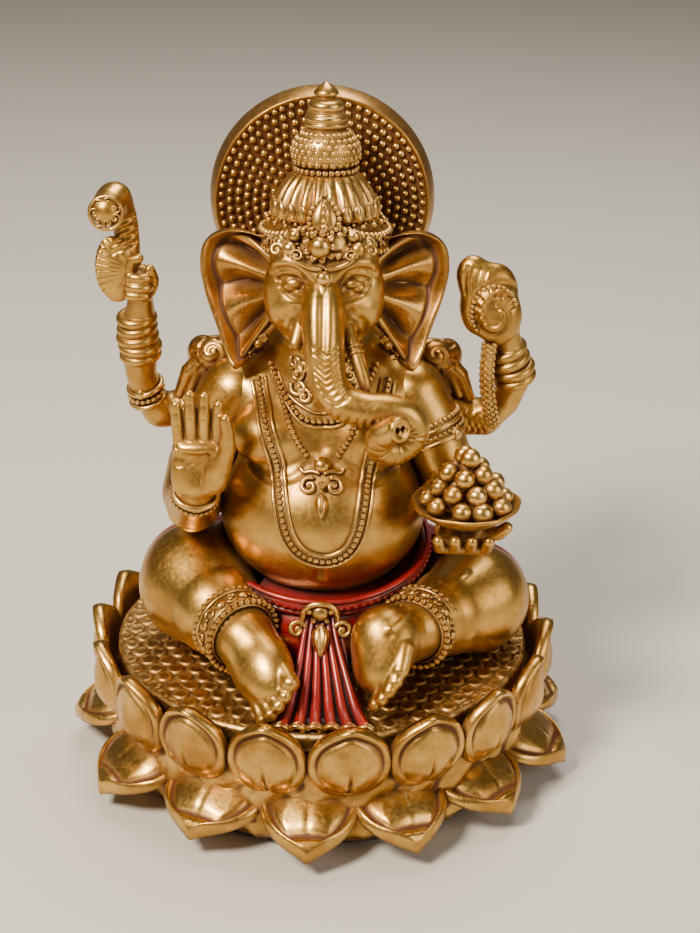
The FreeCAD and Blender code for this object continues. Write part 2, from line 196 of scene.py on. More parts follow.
class Clay:
    """A block of distances that shapes are blended into and carved from."""

    def __init__(self, low, high, step):
        self.step = step * COARSE
        self.low = np.asarray(low, float)
        count = np.ceil((np.asarray(high, float) - self.low) / self.step).astype(int) + 1
        self.axes = [(self.low[i] + self.step * np.arange(count[i])).astype(np.float32) for i in range(3)]
        self.d = np.full(count, FAR, np.float32)

    def window(self, low, high):
        start = np.clip(np.floor((np.asarray(low) - self.low) / self.step).astype(int), 0, None)
        stop = np.ceil((np.asarray(high) - self.low) / self.step).astype(int) + 1
        cut = tuple(slice(a, max(a, min(b, n))) for a, b, n in zip(start, stop, self.d.shape))
        x, y, z = (self.axes[i][cut[i]] for i in range(3))
        return cut, x[:, None, None], y[None, :, None], z[None, None, :]

    def measure(self, parts, cut):
        """The union of parts over the window cut."""
        out = np.full([s.stop - s.start for s in cut], FAR, np.float32)
        for low, high, distance in parts:
            own = self.window(low - REACH, high + REACH)[0]
            own = tuple(slice(max(a.start, b.start), min(a.stop, b.stop)) for a, b in zip(own, cut))
            if any(s.stop <= s.start for s in own):
                continue
            x, y, z = (self.axes[i][own[i]] for i in range(3))
            place = tuple(slice(a.start - b.start, a.stop - b.start) for a, b in zip(own, cut))
            value = distance(x[:, None, None], y[None, :, None], z[None, None, :])
            out[place] = np.minimum(out[place], value)
        return out

    def bounds_of(self, parts):
        low = np.min([p[0] for p in parts], axis=0) - REACH
        high = np.max([p[1] for p in parts], axis=0) + REACH
        return self.window(low, high)[0]

    def blend(self, parts, soft=0.0):
        cut = self.bounds_of(parts)
        self.d[cut] = soft_min(self.d[cut], self.measure(parts, cut), soft)

    def carve(self, parts, soft=0.0):
        cut = self.bounds_of(parts)
        self.d[cut] = -soft_min(-self.d[cut], self.measure(parts, cut), soft)

    def sit(self):
        """Cuts the clay flat where it rests on the seat."""
        self.carve(half_space((0, 0, SEAT_Z + 0.05), (0, 0, 1)))

    def crease(self, points, width, depth):
        """Presses a groove along points, or raises a ridge where depth is negative."""
        line = np.asarray(points, float)
        reach = width * 2.6
        cut = self.window(line.min(axis=0) - reach, line.max(axis=0) + reach)[0]
        near = np.full(self.d[cut].shape, 99.0, np.float32)
        for a, b in zip(line[:-1], line[1:]):
            own, x, y, z = self.window(np.minimum(a, b) - reach, np.maximum(a, b) + reach)
            ab = b - a
            dx, dy, dz = x - a[0], y - a[1], z - a[2]
            h = np.clip((dx * ab[0] + dy * ab[1] + dz * ab[2]) / max(ab @ ab, 1e-9), 0, 1)
            square = (dx - h * ab[0]) ** 2 + (dy - h * ab[1]) ** 2 + (dz - h * ab[2]) ** 2
            place = tuple(slice(s.start - c.start, s.stop - c.start) for s, c in zip(own, cut))
            near[place] = np.minimum(near[place], square)
        self.d[cut] += depth * np.exp(-near / (width * width))

    def sample(self, p):
        """The clay's distance at each point, between voxels."""
        q = (np.asarray(p, float) - self.low) / self.step
        q = np.clip(q, 0, np.array(self.d.shape) - 1.001)
        i = q.astype(int)
        f = q - i
        total = 0
        for corner in range(8):
            o = ((corner >> 2) & 1, (corner >> 1) & 1, corner & 1)
            w = np.prod([f[..., k] if o[k] else 1 - f[..., k] for k in range(3)], axis=0)
            total = total + w * self.d[i[..., 0] + o[0], i[..., 1] + o[1], i[..., 2] + o[2]]
        return total

    def normal(self, p):
        e = self.step * 1.5
        axes = np.eye(3) * e
        return unit(np.stack([self.sample(p + a) - self.sample(p - a) for a in axes], axis=-1))

    def drop(self, starts, way, reach=26.0):
        """Where rays from starts along way first meet the clay, and the clay's outward direction there."""
        p = np.atleast_2d(np.asarray(starts, float))
        w = np.broadcast_to(unit(way), p.shape)
        t = np.arange(0, reach, self.step * 0.5)
        value = self.sample(p[:, None, :] + t[None, :, None] * w[:, None, :])
        met = (value < 0).any(axis=1)
        rows = np.arange(len(p))
        first = np.argmax(value < 0, axis=1)
        if met.any():
            first = np.interp(rows, rows[met], first[met]).astype(int)
        before = np.maximum(first - 1, 0)
        a, b = value[rows, before], value[rows, first]
        part = np.where(np.abs(a - b) > 1e-6, a / np.where(np.abs(a - b) > 1e-6, a - b, 1), 0)
        hit = p + (t[before] + np.clip(part, 0, 1) * (self.step * 0.5))[:, None] * w
        return hit, self.normal(hit)

    def front(self, pairs, y=-34.0):
        """Points on the clay's front, given as (x, z)."""
        q = np.asarray(pairs, float)
        return self.drop(np.stack([q[:, 0], np.full(len(q), y), q[:, 1]], axis=1), vec(0, 1, 0), 40.0)

    def skin(self):
        """Vertices and quads of the clay's surface."""
        d = self.d
        d[0], d[-1], d[:, 0], d[:, -1], d[:, :, 0], d[:, :, -1] = (np.maximum(s, 0.01) for s in (
            d[0], d[-1], d[:, 0], d[:, -1], d[:, :, 0], d[:, :, -1]))
        inside = d < 0
        n = np.array(d.shape) - 1
        corners = [(a, b, c) for a in (0, 1) for b in (0, 1) for c in (0, 1)]
        count = sum(inside[a:n[0] + a, b:n[1] + b, c:n[2] + c].astype(np.int8) for a, b, c in corners)
        mixed = (count > 0) & (count < 8)
        cells = np.argwhere(mixed)
        number = np.full(n, -1, np.int64)
        number[mixed] = np.arange(len(cells))
        total = np.zeros((len(cells), 3))
        hits = np.zeros(len(cells))
        for ca in corners:
            for axis in range(3):
                if ca[axis]:
                    continue
                cb = list(ca)
                cb[axis] = 1
                va = d[cells[:, 0] + ca[0], cells[:, 1] + ca[1], cells[:, 2] + ca[2]]
                vb = d[cells[:, 0] + cb[0], cells[:, 1] + cb[1], cells[:, 2] + cb[2]]
                cross = (va < 0) != (vb < 0)
                t = np.where(cross, va / np.where(cross, va - vb, 1), 0)
                place = np.array(ca, float) + t[:, None] * np.eye(3)[axis]
                total += place * cross[:, None]
                hits += cross
        verts = self.low + (cells + total / hits[:, None]) * self.step
        quads = []
        for axis in range(3):
            u, v = (axis + 1) % 3, (axis + 2) % 3
            a = np.take(inside, range(0, n[axis]), axis)
            b = np.take(inside, range(1, n[axis] + 1), axis)
            for sign, way in ((a & ~b, 1), (~a & b, -1)):
                at = np.argwhere(sign)
                at = at[(at[:, u] > 0) & (at[:, v] > 0) & (at[:, u] < n[u]) & (at[:, v] < n[v])]
                ring = []
                for du, dv in ((0, 0), (-1, 0), (-1, -1), (0, -1))[::way]:
                    cell = at.copy()
                    cell[:, u] += du
                    cell[:, v] += dv
                    ring.append(number[cell[:, 0], cell[:, 1], cell[:, 2]])
                quads.append(np.stack(ring, axis=1))
        return verts, np.concatenate(quads)


# ---------------------------------------------------------------- meshes
def hollow_depth(verts, quads):
    """How far each vertex lies below its smoothed surroundings, in mm. A ridge is negative."""
    ends = np.concatenate([quads[:, [0, 1]], quads[:, [1, 2]], quads[:, [2, 3]], quads[:, [3, 0]]])
    i = np.concatenate([ends[:, 0], ends[:, 1]])
    j = np.concatenate([ends[:, 1], ends[:, 0]])
    n = len(verts)
    weight = np.maximum(np.bincount(i, minlength=n), 1)
    normal = np.cross(verts[quads[:, 2]] - verts[quads[:, 0]], verts[quads[:, 3]] - verts[quads[:, 1]])
    total = np.zeros((n, 3))
    for k in range(4):
        for axis in range(3):
            total[:, axis] += np.bincount(quads[:, k], normal[:, axis], minlength=n)
    normal = unit(total)
    smooth = verts.copy()
    for _ in range(HOLLOW_ROUNDS):
        moved = np.stack([np.bincount(i, smooth[j, axis], minlength=n) for axis in range(3)], axis=1)
        smooth = 0.35 * smooth + 0.65 * moved / weight[:, None]
    depth = ((smooth - verts) * normal).sum(axis=1)
    for _ in range(2):
        depth = 0.4 * depth + 0.6 * np.bincount(i, depth[j], minlength=n) / weight
    return depth


def make(name, verts, quads, material, slot, nodes=(), relief=True):
    """A finished piece from arrays of vertices in mm and quads."""
    verts = np.asarray(verts, float)
    quads = np.asarray(quads, np.int32)
    mesh = bpy.data.meshes.new(name)
    mesh.vertices.add(len(verts))
    mesh.vertices.foreach_set("co", (verts * MM).astype(np.float32).ravel())
    mesh.loops.add(quads.size)
    mesh.loops.foreach_set("vertex_index", quads.ravel())
    mesh.polygons.add(len(quads))
    mesh.polygons.foreach_set("loop_start", np.arange(0, quads.size, 4, dtype=np.int32))
    mesh.polygons.foreach_set("loop_total", np.full(len(quads), 4, np.int32))
    mesh.update(calc_edges=True)
    mesh.polygons.foreach_set("use_smooth", np.ones(len(quads), bool))
    if relief:
        layer = mesh.attributes.new("hollow", "FLOAT", "POINT")
        layer.data.foreach_set("value", hollow_depth(verts, quads).astype(np.float32))
    mesh.materials.append(material)
    piece = bpy.data.objects.new(name, mesh)
    bpy.context.scene.collection.objects.link(piece)
    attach(piece, "root")
    if nodes:
        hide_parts(*nodes)


class Trim:
    """Gathers small modelled parts into one mesh."""

    def __init__(self):
        self.verts, self.quads, self.count = [], [], 0

    def add(self, verts, quads):
        verts = np.asarray(verts, float)
        self.verts.append(verts)
        self.quads.append(np.asarray(quads, np.int64) + self.count)
        self.count += len(verts)

    def grid(self, points, wrap=False):
        """A skin over rows of points. wrap joins each row's end to its start."""
        points = np.asarray(points, float)
        rows, cols = points.shape[:2]
        index = np.arange(rows * cols).reshape(rows, cols)
        right = np.roll(index, -1, axis=1) if wrap else index[:, 1:]
        left = index if wrap else index[:, :-1]
        quads = np.stack([left[:-1], right[:-1], right[1:], left[1:]], axis=-1).reshape(-1, 4)
        self.add(points.reshape(-1, 3), quads)

    def tube(self, line, radii, sides=8, closed=False, flat=1.0, up=None):
        """A tube along line. flat squeezes it along up, or along the frame carried down the line."""
        p = np.asarray(line, float)
        r = np.broadcast_to(np.asarray(radii, float), len(p))
        if closed:
            along = unit(np.roll(p, -1, axis=0) - np.roll(p, 1, axis=0))
        else:
            along = unit(np.gradient(p, axis=0))
        if up is None:
            side = np.cross(along[0], vec(0.13, 0.21, 1.0))
            ups = []
            u = unit(np.cross(side, along[0]))
            for t in along:
                u = unit(u - t * (u @ t))
                ups.append(u)
            up = np.array(ups)
        else:
            up = np.broadcast_to(np.asarray(up, float), p.shape)
            up = unit(up - along * (up * along).sum(axis=1, keepdims=True))
        side = np.cross(along, up)
        turn = np.linspace(0, 2 * np.pi, sides, endpoint=False)
        ring = (p[:, None] + r[:, None, None] * (np.cos(turn)[None, :, None] * side[:, None]
                + flat * np.sin(turn)[None, :, None] * up[:, None]))
        if closed:
            ring = np.concatenate([ring, ring[:1]])
        else:
            ring = np.concatenate([np.broadcast_to(p[:1, None], (1, sides, 3)), ring,
                                   np.broadcast_to(p[-1:, None], (1, sides, 3))])
        self.grid(ring[:, ::-1], wrap=True)

    def bead(self, centre, radius, normal=None, squash=1.0, fine=3):
        """A round bead. squash flattens it along normal."""
        t = np.linspace(-1, 1, fine + 1)
        a, b = np.meshgrid(t, t, indexing="ij")
        a, b = np.tan(a * np.pi / 4), np.tan(b * np.pi / 4)
        for axis in range(3):
            for sign in (1, -1):
                q = np.zeros((fine + 1, fine + 1, 3))
                q[..., axis] = sign
                q[..., (axis + 1) % 3] = b if sign > 0 else a
                q[..., (axis + 2) % 3] = a if sign > 0 else b
                q = unit(q) * radius
                if normal is not None and squash != 1.0:
                    n = unit(normal)
                    q = q + (q @ n)[..., None] * (squash - 1) * n
                self.grid(q + np.asarray(centre, float))

    def beads(self, centres, radius):
        for centre in centres:
            self.bead(centre, radius)

    def scroll(self, centre, normal, out, size, hand=1, turns=1.35, thick=0.34, lift=0.1):
        """A spiral volute lying on a surface. out points from its eye to where it starts."""
        n = unit(normal)
        a = unit(np.asarray(out, float) - n * (np.asarray(out, float) @ n))
        b = np.cross(n, a) * hand
        t = np.linspace(0, 1, 30)[:, None]
        reach = size * (1 - t * 0.86)
        angle = t * turns * 2 * np.pi
        line = np.asarray(centre, float) + reach * (np.cos(angle) * a + np.sin(angle) * b) + n * lift
        self.tube(line, size * thick * (0.75 + 0.25 * np.sin(np.pi * t[:, 0])) * (1 - 0.35 * t[:, 0]), 8,
                  up=n)
        self.bead(np.asarray(centre, float) + n * lift, size * thick * 0.9)

    def leaf(self, centre, normal, tip, length, width, rise=0.4, crease=0.3):
        """A pointed leaf or drop lying on a surface, its tip along tip."""
        n = unit(normal)
        a = unit(np.asarray(tip, float) - n * (np.asarray(tip, float) @ n))
        b = np.cross(n, a)
        s = np.linspace(0, 1, 14)[:, None]
        v = np.linspace(-1, 1, 11)[None, :]
        half = width * np.sin(np.pi * s ** 0.75) ** 0.8
        height = rise * np.sqrt(np.maximum(1 - v ** 2, 0)) * np.sin(np.pi * np.clip(s, 0.02, 0.98)) ** 0.5
        height = height * (1 - crease * np.exp(-(v / 0.16) ** 2))
        points = (np.asarray(centre, float) + (s * length)[..., None] * a + (half * v)[..., None] * b
                  + height[..., None] * n)
        self.grid(points[:, ::-1])
        self.grid(points - 2 * height[..., None] * n)

    def turned(self, profile, centre=(0.0, 0.0), sides=72, wave=None):
        """A shape turned about a vertical axis. wave(angle, height) adds to its radius."""
        p = np.asarray(profile, float)
        angle = np.linspace(0, 2 * np.pi, sides, endpoint=False)
        r = np.repeat(p[:, :1], sides, axis=1)
        if wave is not None:
            r = r + wave(angle[None, :], p[:, 1:]) * (p[:, :1] > 0.01)
        ring = np.stack([centre[0] + r * np.cos(angle), centre[1] + r * np.sin(angle),
                         np.broadcast_to(p[:, 1:], r.shape)], axis=-1)
        self.grid(ring, wrap=True)

    def make(self, name, material, slot, nodes=(), relief=False):
        make(name, np.concatenate(self.verts), np.concatenate(self.quads), material, slot, nodes, relief)


# ---------------------------------------------------------------- materials
class Paint:
    """A node material, with short calls for the nodes it needs."""

    def __init__(self, name):
        self.material = bpy.data.materials.new(name)
        self.material.use_nodes = True
        self.tree = self.material.node_tree
        self.shader = self.tree.nodes["Principled BSDF"]

    def node(self, kind, **values):
        n = self.tree.nodes.new(kind)
        for key, value in values.items():
            target = n.inputs[key.replace("_", " ")] if key.replace("_", " ") in n.inputs else None
            if target is None:
                setattr(n, key, value)
            elif hasattr(value, "node"):
                self.tree.links.new(value, target)
            else:
                target.default_value = value
        return n

    def math(self, operation, a, b=0.0, clamp=False):
        n = self.node("ShaderNodeMath", operation=operation, use_clamp=clamp)
        for socket, value in zip(n.inputs, (a, b)):
            if hasattr(value, "node"):
                self.tree.links.new(value, socket)
            else:
                socket.default_value = value
        return n.outputs[0]

    def ramp(self, value, low, high, to_low=0.0, to_high=1.0):
        n = self.node("ShaderNodeMapRange", interpolation_type="SMOOTHSTEP")
        for socket, v in zip(n.inputs, (value, low, high, to_low, to_high)):
            if hasattr(v, "node"):
                self.tree.links.new(v, socket)
            else:
                socket.default_value = v
        return n.outputs[0]

    def mix(self, factor, a, b):
        n = self.node("ShaderNodeMix", data_type="RGBA")
        for socket, value in ((n.inputs[0], factor), (n.inputs[6], a), (n.inputs[7], b)):
            if hasattr(value, "node"):
                self.tree.links.new(value, socket)
            else:
                socket.default_value = value if np.isscalar(value) else (*value, 1.0)
        return n.outputs[2]

    def noise(self, size_mm, detail=3.0, rough=0.55):
        place = self.node("ShaderNodeTexCoord").outputs["Object"]
        return self.node("ShaderNodeTexNoise", Vector=place, Scale=1.0 / (size_mm * MM), Detail=detail,
                         Roughness=rough).outputs["Fac"]

    def pits(self, size_mm, radius):
        """1 inside sparse round pits, 0 elsewhere."""
        place = self.node("ShaderNodeTexCoord").outputs["Object"]
        cells = self.node("ShaderNodeTexVoronoi", Vector=place, Scale=1.0 / (size_mm * MM))
        near = self.ramp(cells.outputs["Distance"], radius * 0.55, radius, 1.0, 0.0)
        some = self.ramp(self.node("ShaderNodeSeparateColor", Color=cells.outputs["Color"]).outputs[0],
                         0.62, 0.66)
        return self.math("MULTIPLY", near, some)

    def link(self, value, socket):
        self.tree.links.new(value, self.shader.inputs[socket])


def metal_paint(name, bright, deep, wash_and_shade_colour, shine=0.27, age=1.0, worn=None, crevice=2.2, metal=1.0, coat=0.0):
    """Metallic paint with a dark wash that has stayed in the hollows, painted shade in crevices and gaps
    between parts, and worn or polished ridges.
    """
    p = Paint(name)
    hollow = p.node("ShaderNodeAttribute", attribute_name="hollow").outputs["Fac"]
    patches = p.noise(5.5, 4.0, 0.6)
    flecks = p.noise(0.55, 5.0, 0.65)
    # Painted shade: ambient occlusion darkens the colour wherever other surfaces lie close by, in crevices,
    # under parts and between them.
    ao = p.node("ShaderNodeAmbientOcclusion", samples=6, Distance=crevice * MM).outputs["AO"]
    shade = p.ramp(ao, 0.30, 0.93, 1.0, 0.0)
    sunk = p.ramp(hollow, 0.012, 0.12)
    # The mask below joins the real antique wash in the hollows with the painted shade from ambient occlusion;
    # random haze and pits are added to it.
    wash_and_painted_shade = p.math("MAXIMUM", shade, sunk)
    wash_and_painted_shade = p.math("MULTIPLY", wash_and_painted_shade, p.ramp(patches, 0.2, 0.6, 0.75 * age, 1.0 * age))
    haze = p.math("MULTIPLY", p.ramp(flecks, 0.5, 0.75), p.ramp(patches, 0.42, 0.7, 0.0, 0.22 * age))
    wash_and_painted_shade = p.math("ADD", wash_and_painted_shade, haze, clamp=True)
    pitted = p.pits(2.1, 0.09)
    wash_and_painted_shade = p.math("MAXIMUM", wash_and_painted_shade, p.math("MULTIPLY", pitted, 0.8))
    body = p.mix(p.ramp(patches, 0.3, 0.7), bright, deep)
    if worn is not None:
        edge = p.ramp(hollow, -0.05, -0.012, 1.0, 0.0)
        edge = p.math("MULTIPLY", edge, p.ramp(p.noise(1.1, 4.0), 0.38, 0.62))
        body = p.mix(edge, body, worn)
    # The base colour turns to the wash colour both in the washed hollows and under the painted shade.
    p.link(p.mix(wash_and_painted_shade, body, wash_and_shade_colour), "Base Color")
    p.link(p.math("SUBTRACT", metal, p.math("MULTIPLY", wash_and_painted_shade, 0.62 * metal)), "Metallic")
    rough = p.math("ADD", p.ramp(flecks, 0.3, 0.75, shine, shine + 0.13), p.math("MULTIPLY", wash_and_painted_shade, 0.3))
    p.link(p.math("ADD", rough, p.ramp(patches, 0.35, 0.75, 0.0, 0.07)), "Roughness")
    height = p.math("SUBTRACT", p.math("MULTIPLY", p.noise(0.35, 4.0, 0.6), 0.5), pitted)
    height = p.math("ADD", height, p.math("MULTIPLY", p.noise(1.9, 3.0, 0.5), 1.6))
    bump = p.node("ShaderNodeBump", Strength=0.55, Distance=0.045 * MM, Height=height).outputs["Normal"]
    p.link(bump, "Normal")
    if coat:
        p.shader.inputs["Coat Weight"].default_value = coat
        p.shader.inputs["Coat Roughness"].default_value = 0.12
    return p.material


# The last colour given to each paint is the colour of the antique wash in the hollows and also of the painted
# shade in crevices and between parts.
GOLD_BRIGHT, GOLD_DEEP = (0.66, 0.385, 0.095), (0.42, 0.215, 0.042)
BROWN = (0.10, 0.032, 0.008)
GOLD = metal_paint("gold_skin", GOLD_BRIGHT, GOLD_DEEP, BROWN)
GOLD_TRIM = metal_paint("gold_trim", (0.80, 0.50, 0.155), (0.52, 0.28, 0.065), BROWN, shine=0.22,
                        crevice=1.3, age=1.1)
GOLD_PETAL = metal_paint("gold_petal", (0.72, 0.43, 0.115), (0.40, 0.20, 0.040), (0.11, 0.034, 0.008),
                         shine=0.23,
                         age=1.1)
GOLD_SEAT = metal_paint("gold_seat", (0.50, 0.285, 0.085), (0.30, 0.150, 0.038), (0.07, 0.022, 0.006),
                        shine=0.34,
                        worn=(0.82, 0.53, 0.19), crevice=0.8)
GOLD_HALO = metal_paint("gold_halo", (0.54, 0.30, 0.085), (0.36, 0.18, 0.046), (0.15, 0.055, 0.014),
                        shine=0.30,
                        crevice=0.8)
GOLD_EAR = metal_paint("gold_ear", (0.60, 0.33, 0.085), (0.36, 0.165, 0.036), (0.085, 0.028, 0.008),
                       shine=0.24,
                       age=1.25, crevice=2.4)
RED = metal_paint("red_enamel", (0.36, 0.010, 0.009), (0.20, 0.005, 0.006), (0.030, 0.003, 0.002), shine=0.26,
                  crevice=1.9, metal=0.25, coat=0.45)


def felt_paint():
    p = Paint("felt")
    fibre = p.noise(0.25, 6.0, 0.7)
    p.link(p.mix(fibre, (0.03, 0.028, 0.026), (0.075, 0.07, 0.066)), "Base Color")
    p.link(p.ramp(fibre, 0.2, 0.8, 0.85, 1.0), "Roughness")
    bump = p.node("ShaderNodeBump", Strength=0.8, Distance=0.12 * MM, Height=fibre).outputs["Normal"]
    p.link(bump, "Normal")
    return p.material


# ---------------------------------------------------------------- stage, light and camera
CAMERA_AT = vec(3.8, -245.6, 150.0)
CAMERA_PITCH = 23.2
CAMERA_ROLL = 0.8
LENS_MM = 72.15
FLOOR_HALF_M = 4.0


def make_stage():
    """The floor, the soft lamps and the camera."""
    corners = [(x * FLOOR_HALF_M, y * FLOOR_HALF_M, 0) for x, y in ((-1, -1), (1, -1), (1, 1), (-1, 1))]
    mesh = bpy.data.meshes.new("floor")
    mesh.from_pydata(corners, [], [(0, 1, 2, 3)])
    floor = bpy.data.objects.new("floor", mesh)
    bpy.context.scene.collection.objects.link(floor)
    p = Paint("floor_paper")
    p.shader.inputs["Base Color"].default_value = (0.55, 0.53, 0.49, 1)
    p.shader.inputs["Roughness"].default_value = 0.9
    mesh.materials.append(p.material)

    world = bpy.data.worlds.new("studio")
    bpy.context.scene.world = world
    world.use_nodes = True
    back = world.node_tree.nodes["Background"]
    back.inputs["Color"].default_value = (1.0, 0.90, 0.78, 1)
    back.inputs["Strength"].default_value = 0.15

    def lamp(name, at, size, watts, colour):
        data = bpy.data.lights.new(name, "AREA")
        data.shape = "DISK"
        data.size = size
        data.energy = watts
        data.color = colour
        lamp_object = bpy.data.objects.new(name, data)
        lamp_object.location = Vector(at) * MM
        aim = Vector((0, 0, 45)) * MM - lamp_object.location
        lamp_object.rotation_euler = aim.to_track_quat("-Z", "Y").to_euler()
        bpy.context.scene.collection.objects.link(lamp_object)

    lamp("key", (-240, -300, 440), 0.15, 6.2, (1.0, 0.88, 0.70))
    lamp("fill", (420, -260, 240), 0.35, 1.3, (1.0, 0.92, 0.82))
    lamp("top", (40, 160, 520), 0.30, 2.4, (1.0, 0.93, 0.84))

    data = bpy.data.cameras.new("camera")
    data.lens = LENS_MM
    data.sensor_width = 36.0
    data.clip_start = 0.01
    camera = bpy.data.objects.new("camera", data)
    turn = (Matrix.Rotation(math.radians(90 - CAMERA_PITCH), 4, "X")
            @ Matrix.Rotation(math.radians(CAMERA_ROLL), 4, "Z"))
    camera.matrix_world = Matrix.Translation(Vector(CAMERA_AT) * MM) @ turn
    bpy.context.scene.collection.objects.link(camera)
    bpy.context.scene.camera = camera
    bpy.context.view_layer.update()


# ---------------------------------------------------------------- lotus throne
LOWER_DIRECTIONS = [-90, -56, -28, -2, 21.5, 47, 73.5, 101, 129, 157, 185, 213, 241.5]
LOWER_HALF_MAX = 7.3
LOWER_WIDE_R = 31.5
LOWER_ROOT_R = 24.6
LOWER_LENGTH = 12.6
LOWER_DOME_R = 15.0
LOWER_DOME_AT = (26.0, -4.9)
UPPER_COUNT = 18
UPPER_FIRST = -12.3
UPPER_MIDDLE = 15.0
UPPER_RISE = 5.6
UPPER_HALF = 5.5
UPPER_DOME_R = 14.0
UPPER_DOME_AT = 19.6
DISC_PITCH = 2.75
DISC_R = 1.30


def round_way(degrees_from_front):
    """(outward, sideways) for a petal this far round from the front towards the figure's left."""
    a = math.radians(degrees_from_front)
    return vec(math.sin(a), -math.cos(a), 0), vec(math.cos(a), math.sin(a), 0)


def make_lower_petal(index, way, half):
    """A pointed petal lying on the table: a swollen leaf inside a raised lip."""
    out, side = round_way(way)
    s = np.linspace(0, 1, 52)[:, None]
    v = np.linspace(-1, 1, 45)[None, :]
    width = curve([(0, 0.70), (0.16, 0.88), (0.36, 1.0), (0.55, 0.99), (0.72, 0.83), (0.87, 0.52),
                   (1.0, 0.04)], 400)
    span = half * np.interp(s, width[:, 0], width[:, 1])
    reach = LOWER_ROOT_R + LOWER_LENGTH * s + 0.25 * math.sin(index * 2.3) * s
    across = span * v
    dome = LOWER_DOME_R ** 2 - (reach - LOWER_DOME_AT[0]) ** 2 - 0.9 * across ** 2
    flat = np.sqrt(np.maximum(dome, 1.0)) + LOWER_DOME_AT[1] - 0.6 * s ** 3
    edge = np.minimum((1 - np.abs(v)) * span, (1 - s) * LOWER_LENGTH * 0.62)
    wobble = 0.12 * np.sin(across * 0.9 + index) * np.sin(reach * 0.7 + 2 * index)
    lip = 0.42 * np.exp(-((edge - 0.42) / 0.36) ** 2) - 0.34 * np.exp(-((edge - 1.25) / 0.34) ** 2)
    swell = 0.75 * np.clip((edge - 1.3) / 2.6, 0, 1) ** 0.7
    vein = -0.16 * np.exp(-(across / 0.42) ** 2) * np.clip(edge / 2.5, 0, 1)
    top = flat + lip * np.clip(s * 6, 0, 1) + swell * 0.9 + vein + wobble + 0.9 * s ** 5 - 0.55
    bottom = flat - 1.9 + 0.5 * np.clip(1 - edge / 0.8, 0, 1)
    bottom = np.maximum(np.minimum(bottom, top - 0.8), 0.15)
    place = reach[..., None] * out + across[..., None] * side
    up = vec(0, 0, 1)
    upper = place + top[..., None] * up
    lower = place + bottom[..., None] * up
    middle = (upper + lower) / 2 + (np.sign(v)[..., None] * 0.16) * side
    rows = np.concatenate([upper, middle[:, -1:], lower[:, ::-1], middle[:, :1]], axis=1)
    tip = np.mean(rows[-1], axis=0) + out * 0.12
    rows = np.concatenate([rows, np.broadcast_to(tip, (1, rows.shape[1], 3))])
    t = Trim()
    t.grid(rows[:, ::-1], wrap=True)
    name = f"lower_petal_{index + 1:02d}"
    t.make(name + "_cast", GOLD_PETAL, "gold_paint", [name], relief=True)


def make_upper_petal(index, way):
    """An upright rounded petal: a shallow shell with a rolled lip, a groove inside it and a midrib crease."""
    out, side = round_way(way)
    rho = np.linspace(0, 1, 34)[:, None]
    theta = np.linspace(0, 2 * np.pi, 96, endpoint=False)[None, :]
    point = np.exp(-(np.minimum(theta, 2 * np.pi - theta) / 0.33) ** 2)
    across = UPPER_HALF * rho * np.sin(theta) * (1 + 0.03 * math.sin(index * 1.7))
    rise = UPPER_RISE * rho * np.cos(theta) * (1 + 0.09 * point)
    height = UPPER_MIDDLE + rise
    dome = UPPER_DOME_AT + np.sqrt(np.maximum(UPPER_DOME_R ** 2 - across ** 2 - rise ** 2, 1.0))
    top = np.clip(0.5 + 0.75 * rise / UPPER_RISE, 0, 1)
    lip = (0.55 * np.exp(-((rho - 0.93) / 0.085) ** 2)
           - 0.36 * np.exp(-((rho - 0.78) / 0.06) ** 2)) * (0.15 + 0.85 * top)
    swell = 0.95 * np.clip(1 - (rho / 0.82) ** 2, 0, 1) ** 0.8
    rib = -0.50 * np.exp(-(across / 0.22) ** 2) * np.clip((0.10 - rise / UPPER_RISE) / 0.5, 0,
                                                          1) * (rho < 0.84)
    vein = 0.10 * np.sin(across * 1.5 + index) * np.clip(1 - rho, 0, 1)
    flare = 1.5 * np.clip(rise / UPPER_RISE, 0, 2) ** 3 - 1.1 * np.clip(-rise / UPPER_RISE, 0, 1) ** 2.5
    front = dome + lip + swell + rib + vein + flare - 0.35
    back = dome - 1.9 + flare * 0.9 + 0.35 * rho ** 4
    face = front[..., None] * out + across[..., None] * side + height[..., None] * vec(0, 0, 1)
    rear = back[..., None] * out + across[..., None] * side * 0.97 + height[..., None] * vec(0, 0, 1)
    rim = (face[-1:] + rear[-1:]) / 2 + 0.22 * (np.sin(theta)[..., None] * side
                                                + np.cos(theta)[..., None] * vec(0, 0, 1))
    t = Trim()
    t.grid(np.concatenate([face, rim, rear[::-1]]), wrap=True)
    name = f"upper_petal_{index + 1:02d}"
    t.make(name + "_cast", GOLD_PETAL, "gold_paint", [name], relief=True)


def make_felt():
    """The pad under the throne."""
    felt = Trim()
    felt.turned([(0, 0.0), (20, 0.0), (28.2, 0.0), (28.5, 0.2), (28.5, 0.6), (28.3, 0.8), (20, 0.8),
                 (0, 0.8)], sides=96)
    felt.make("felt_disc", felt_paint(), "felt", ["felt_pad"])


def make_base_core():
    """The solid throne behind the petals, softly lobed so that no flat wall shows between them."""
    core = Trim()
    profile = [(0, 0.8), (29.0, 0.8), (30.6, 2.6), (31.2, 6.0), (31.1, 11.0), (30.5, 14.0), (29.8, 15.4),
               (0, 15.5)]
    line = np.vstack([profile[:1], curve(profile[1:-1], 40), profile[-1:]])
    core.turned(line, sides=180, wave=lambda a, z: 0.35 * np.sin(a * 27 + 1.3 * np.sin(z))
                + 0.15 * np.sin(a * 61 + z))
    core.make("base_core_cast", GOLD_PETAL, "gold_paint", ["base_core"], relief=True)


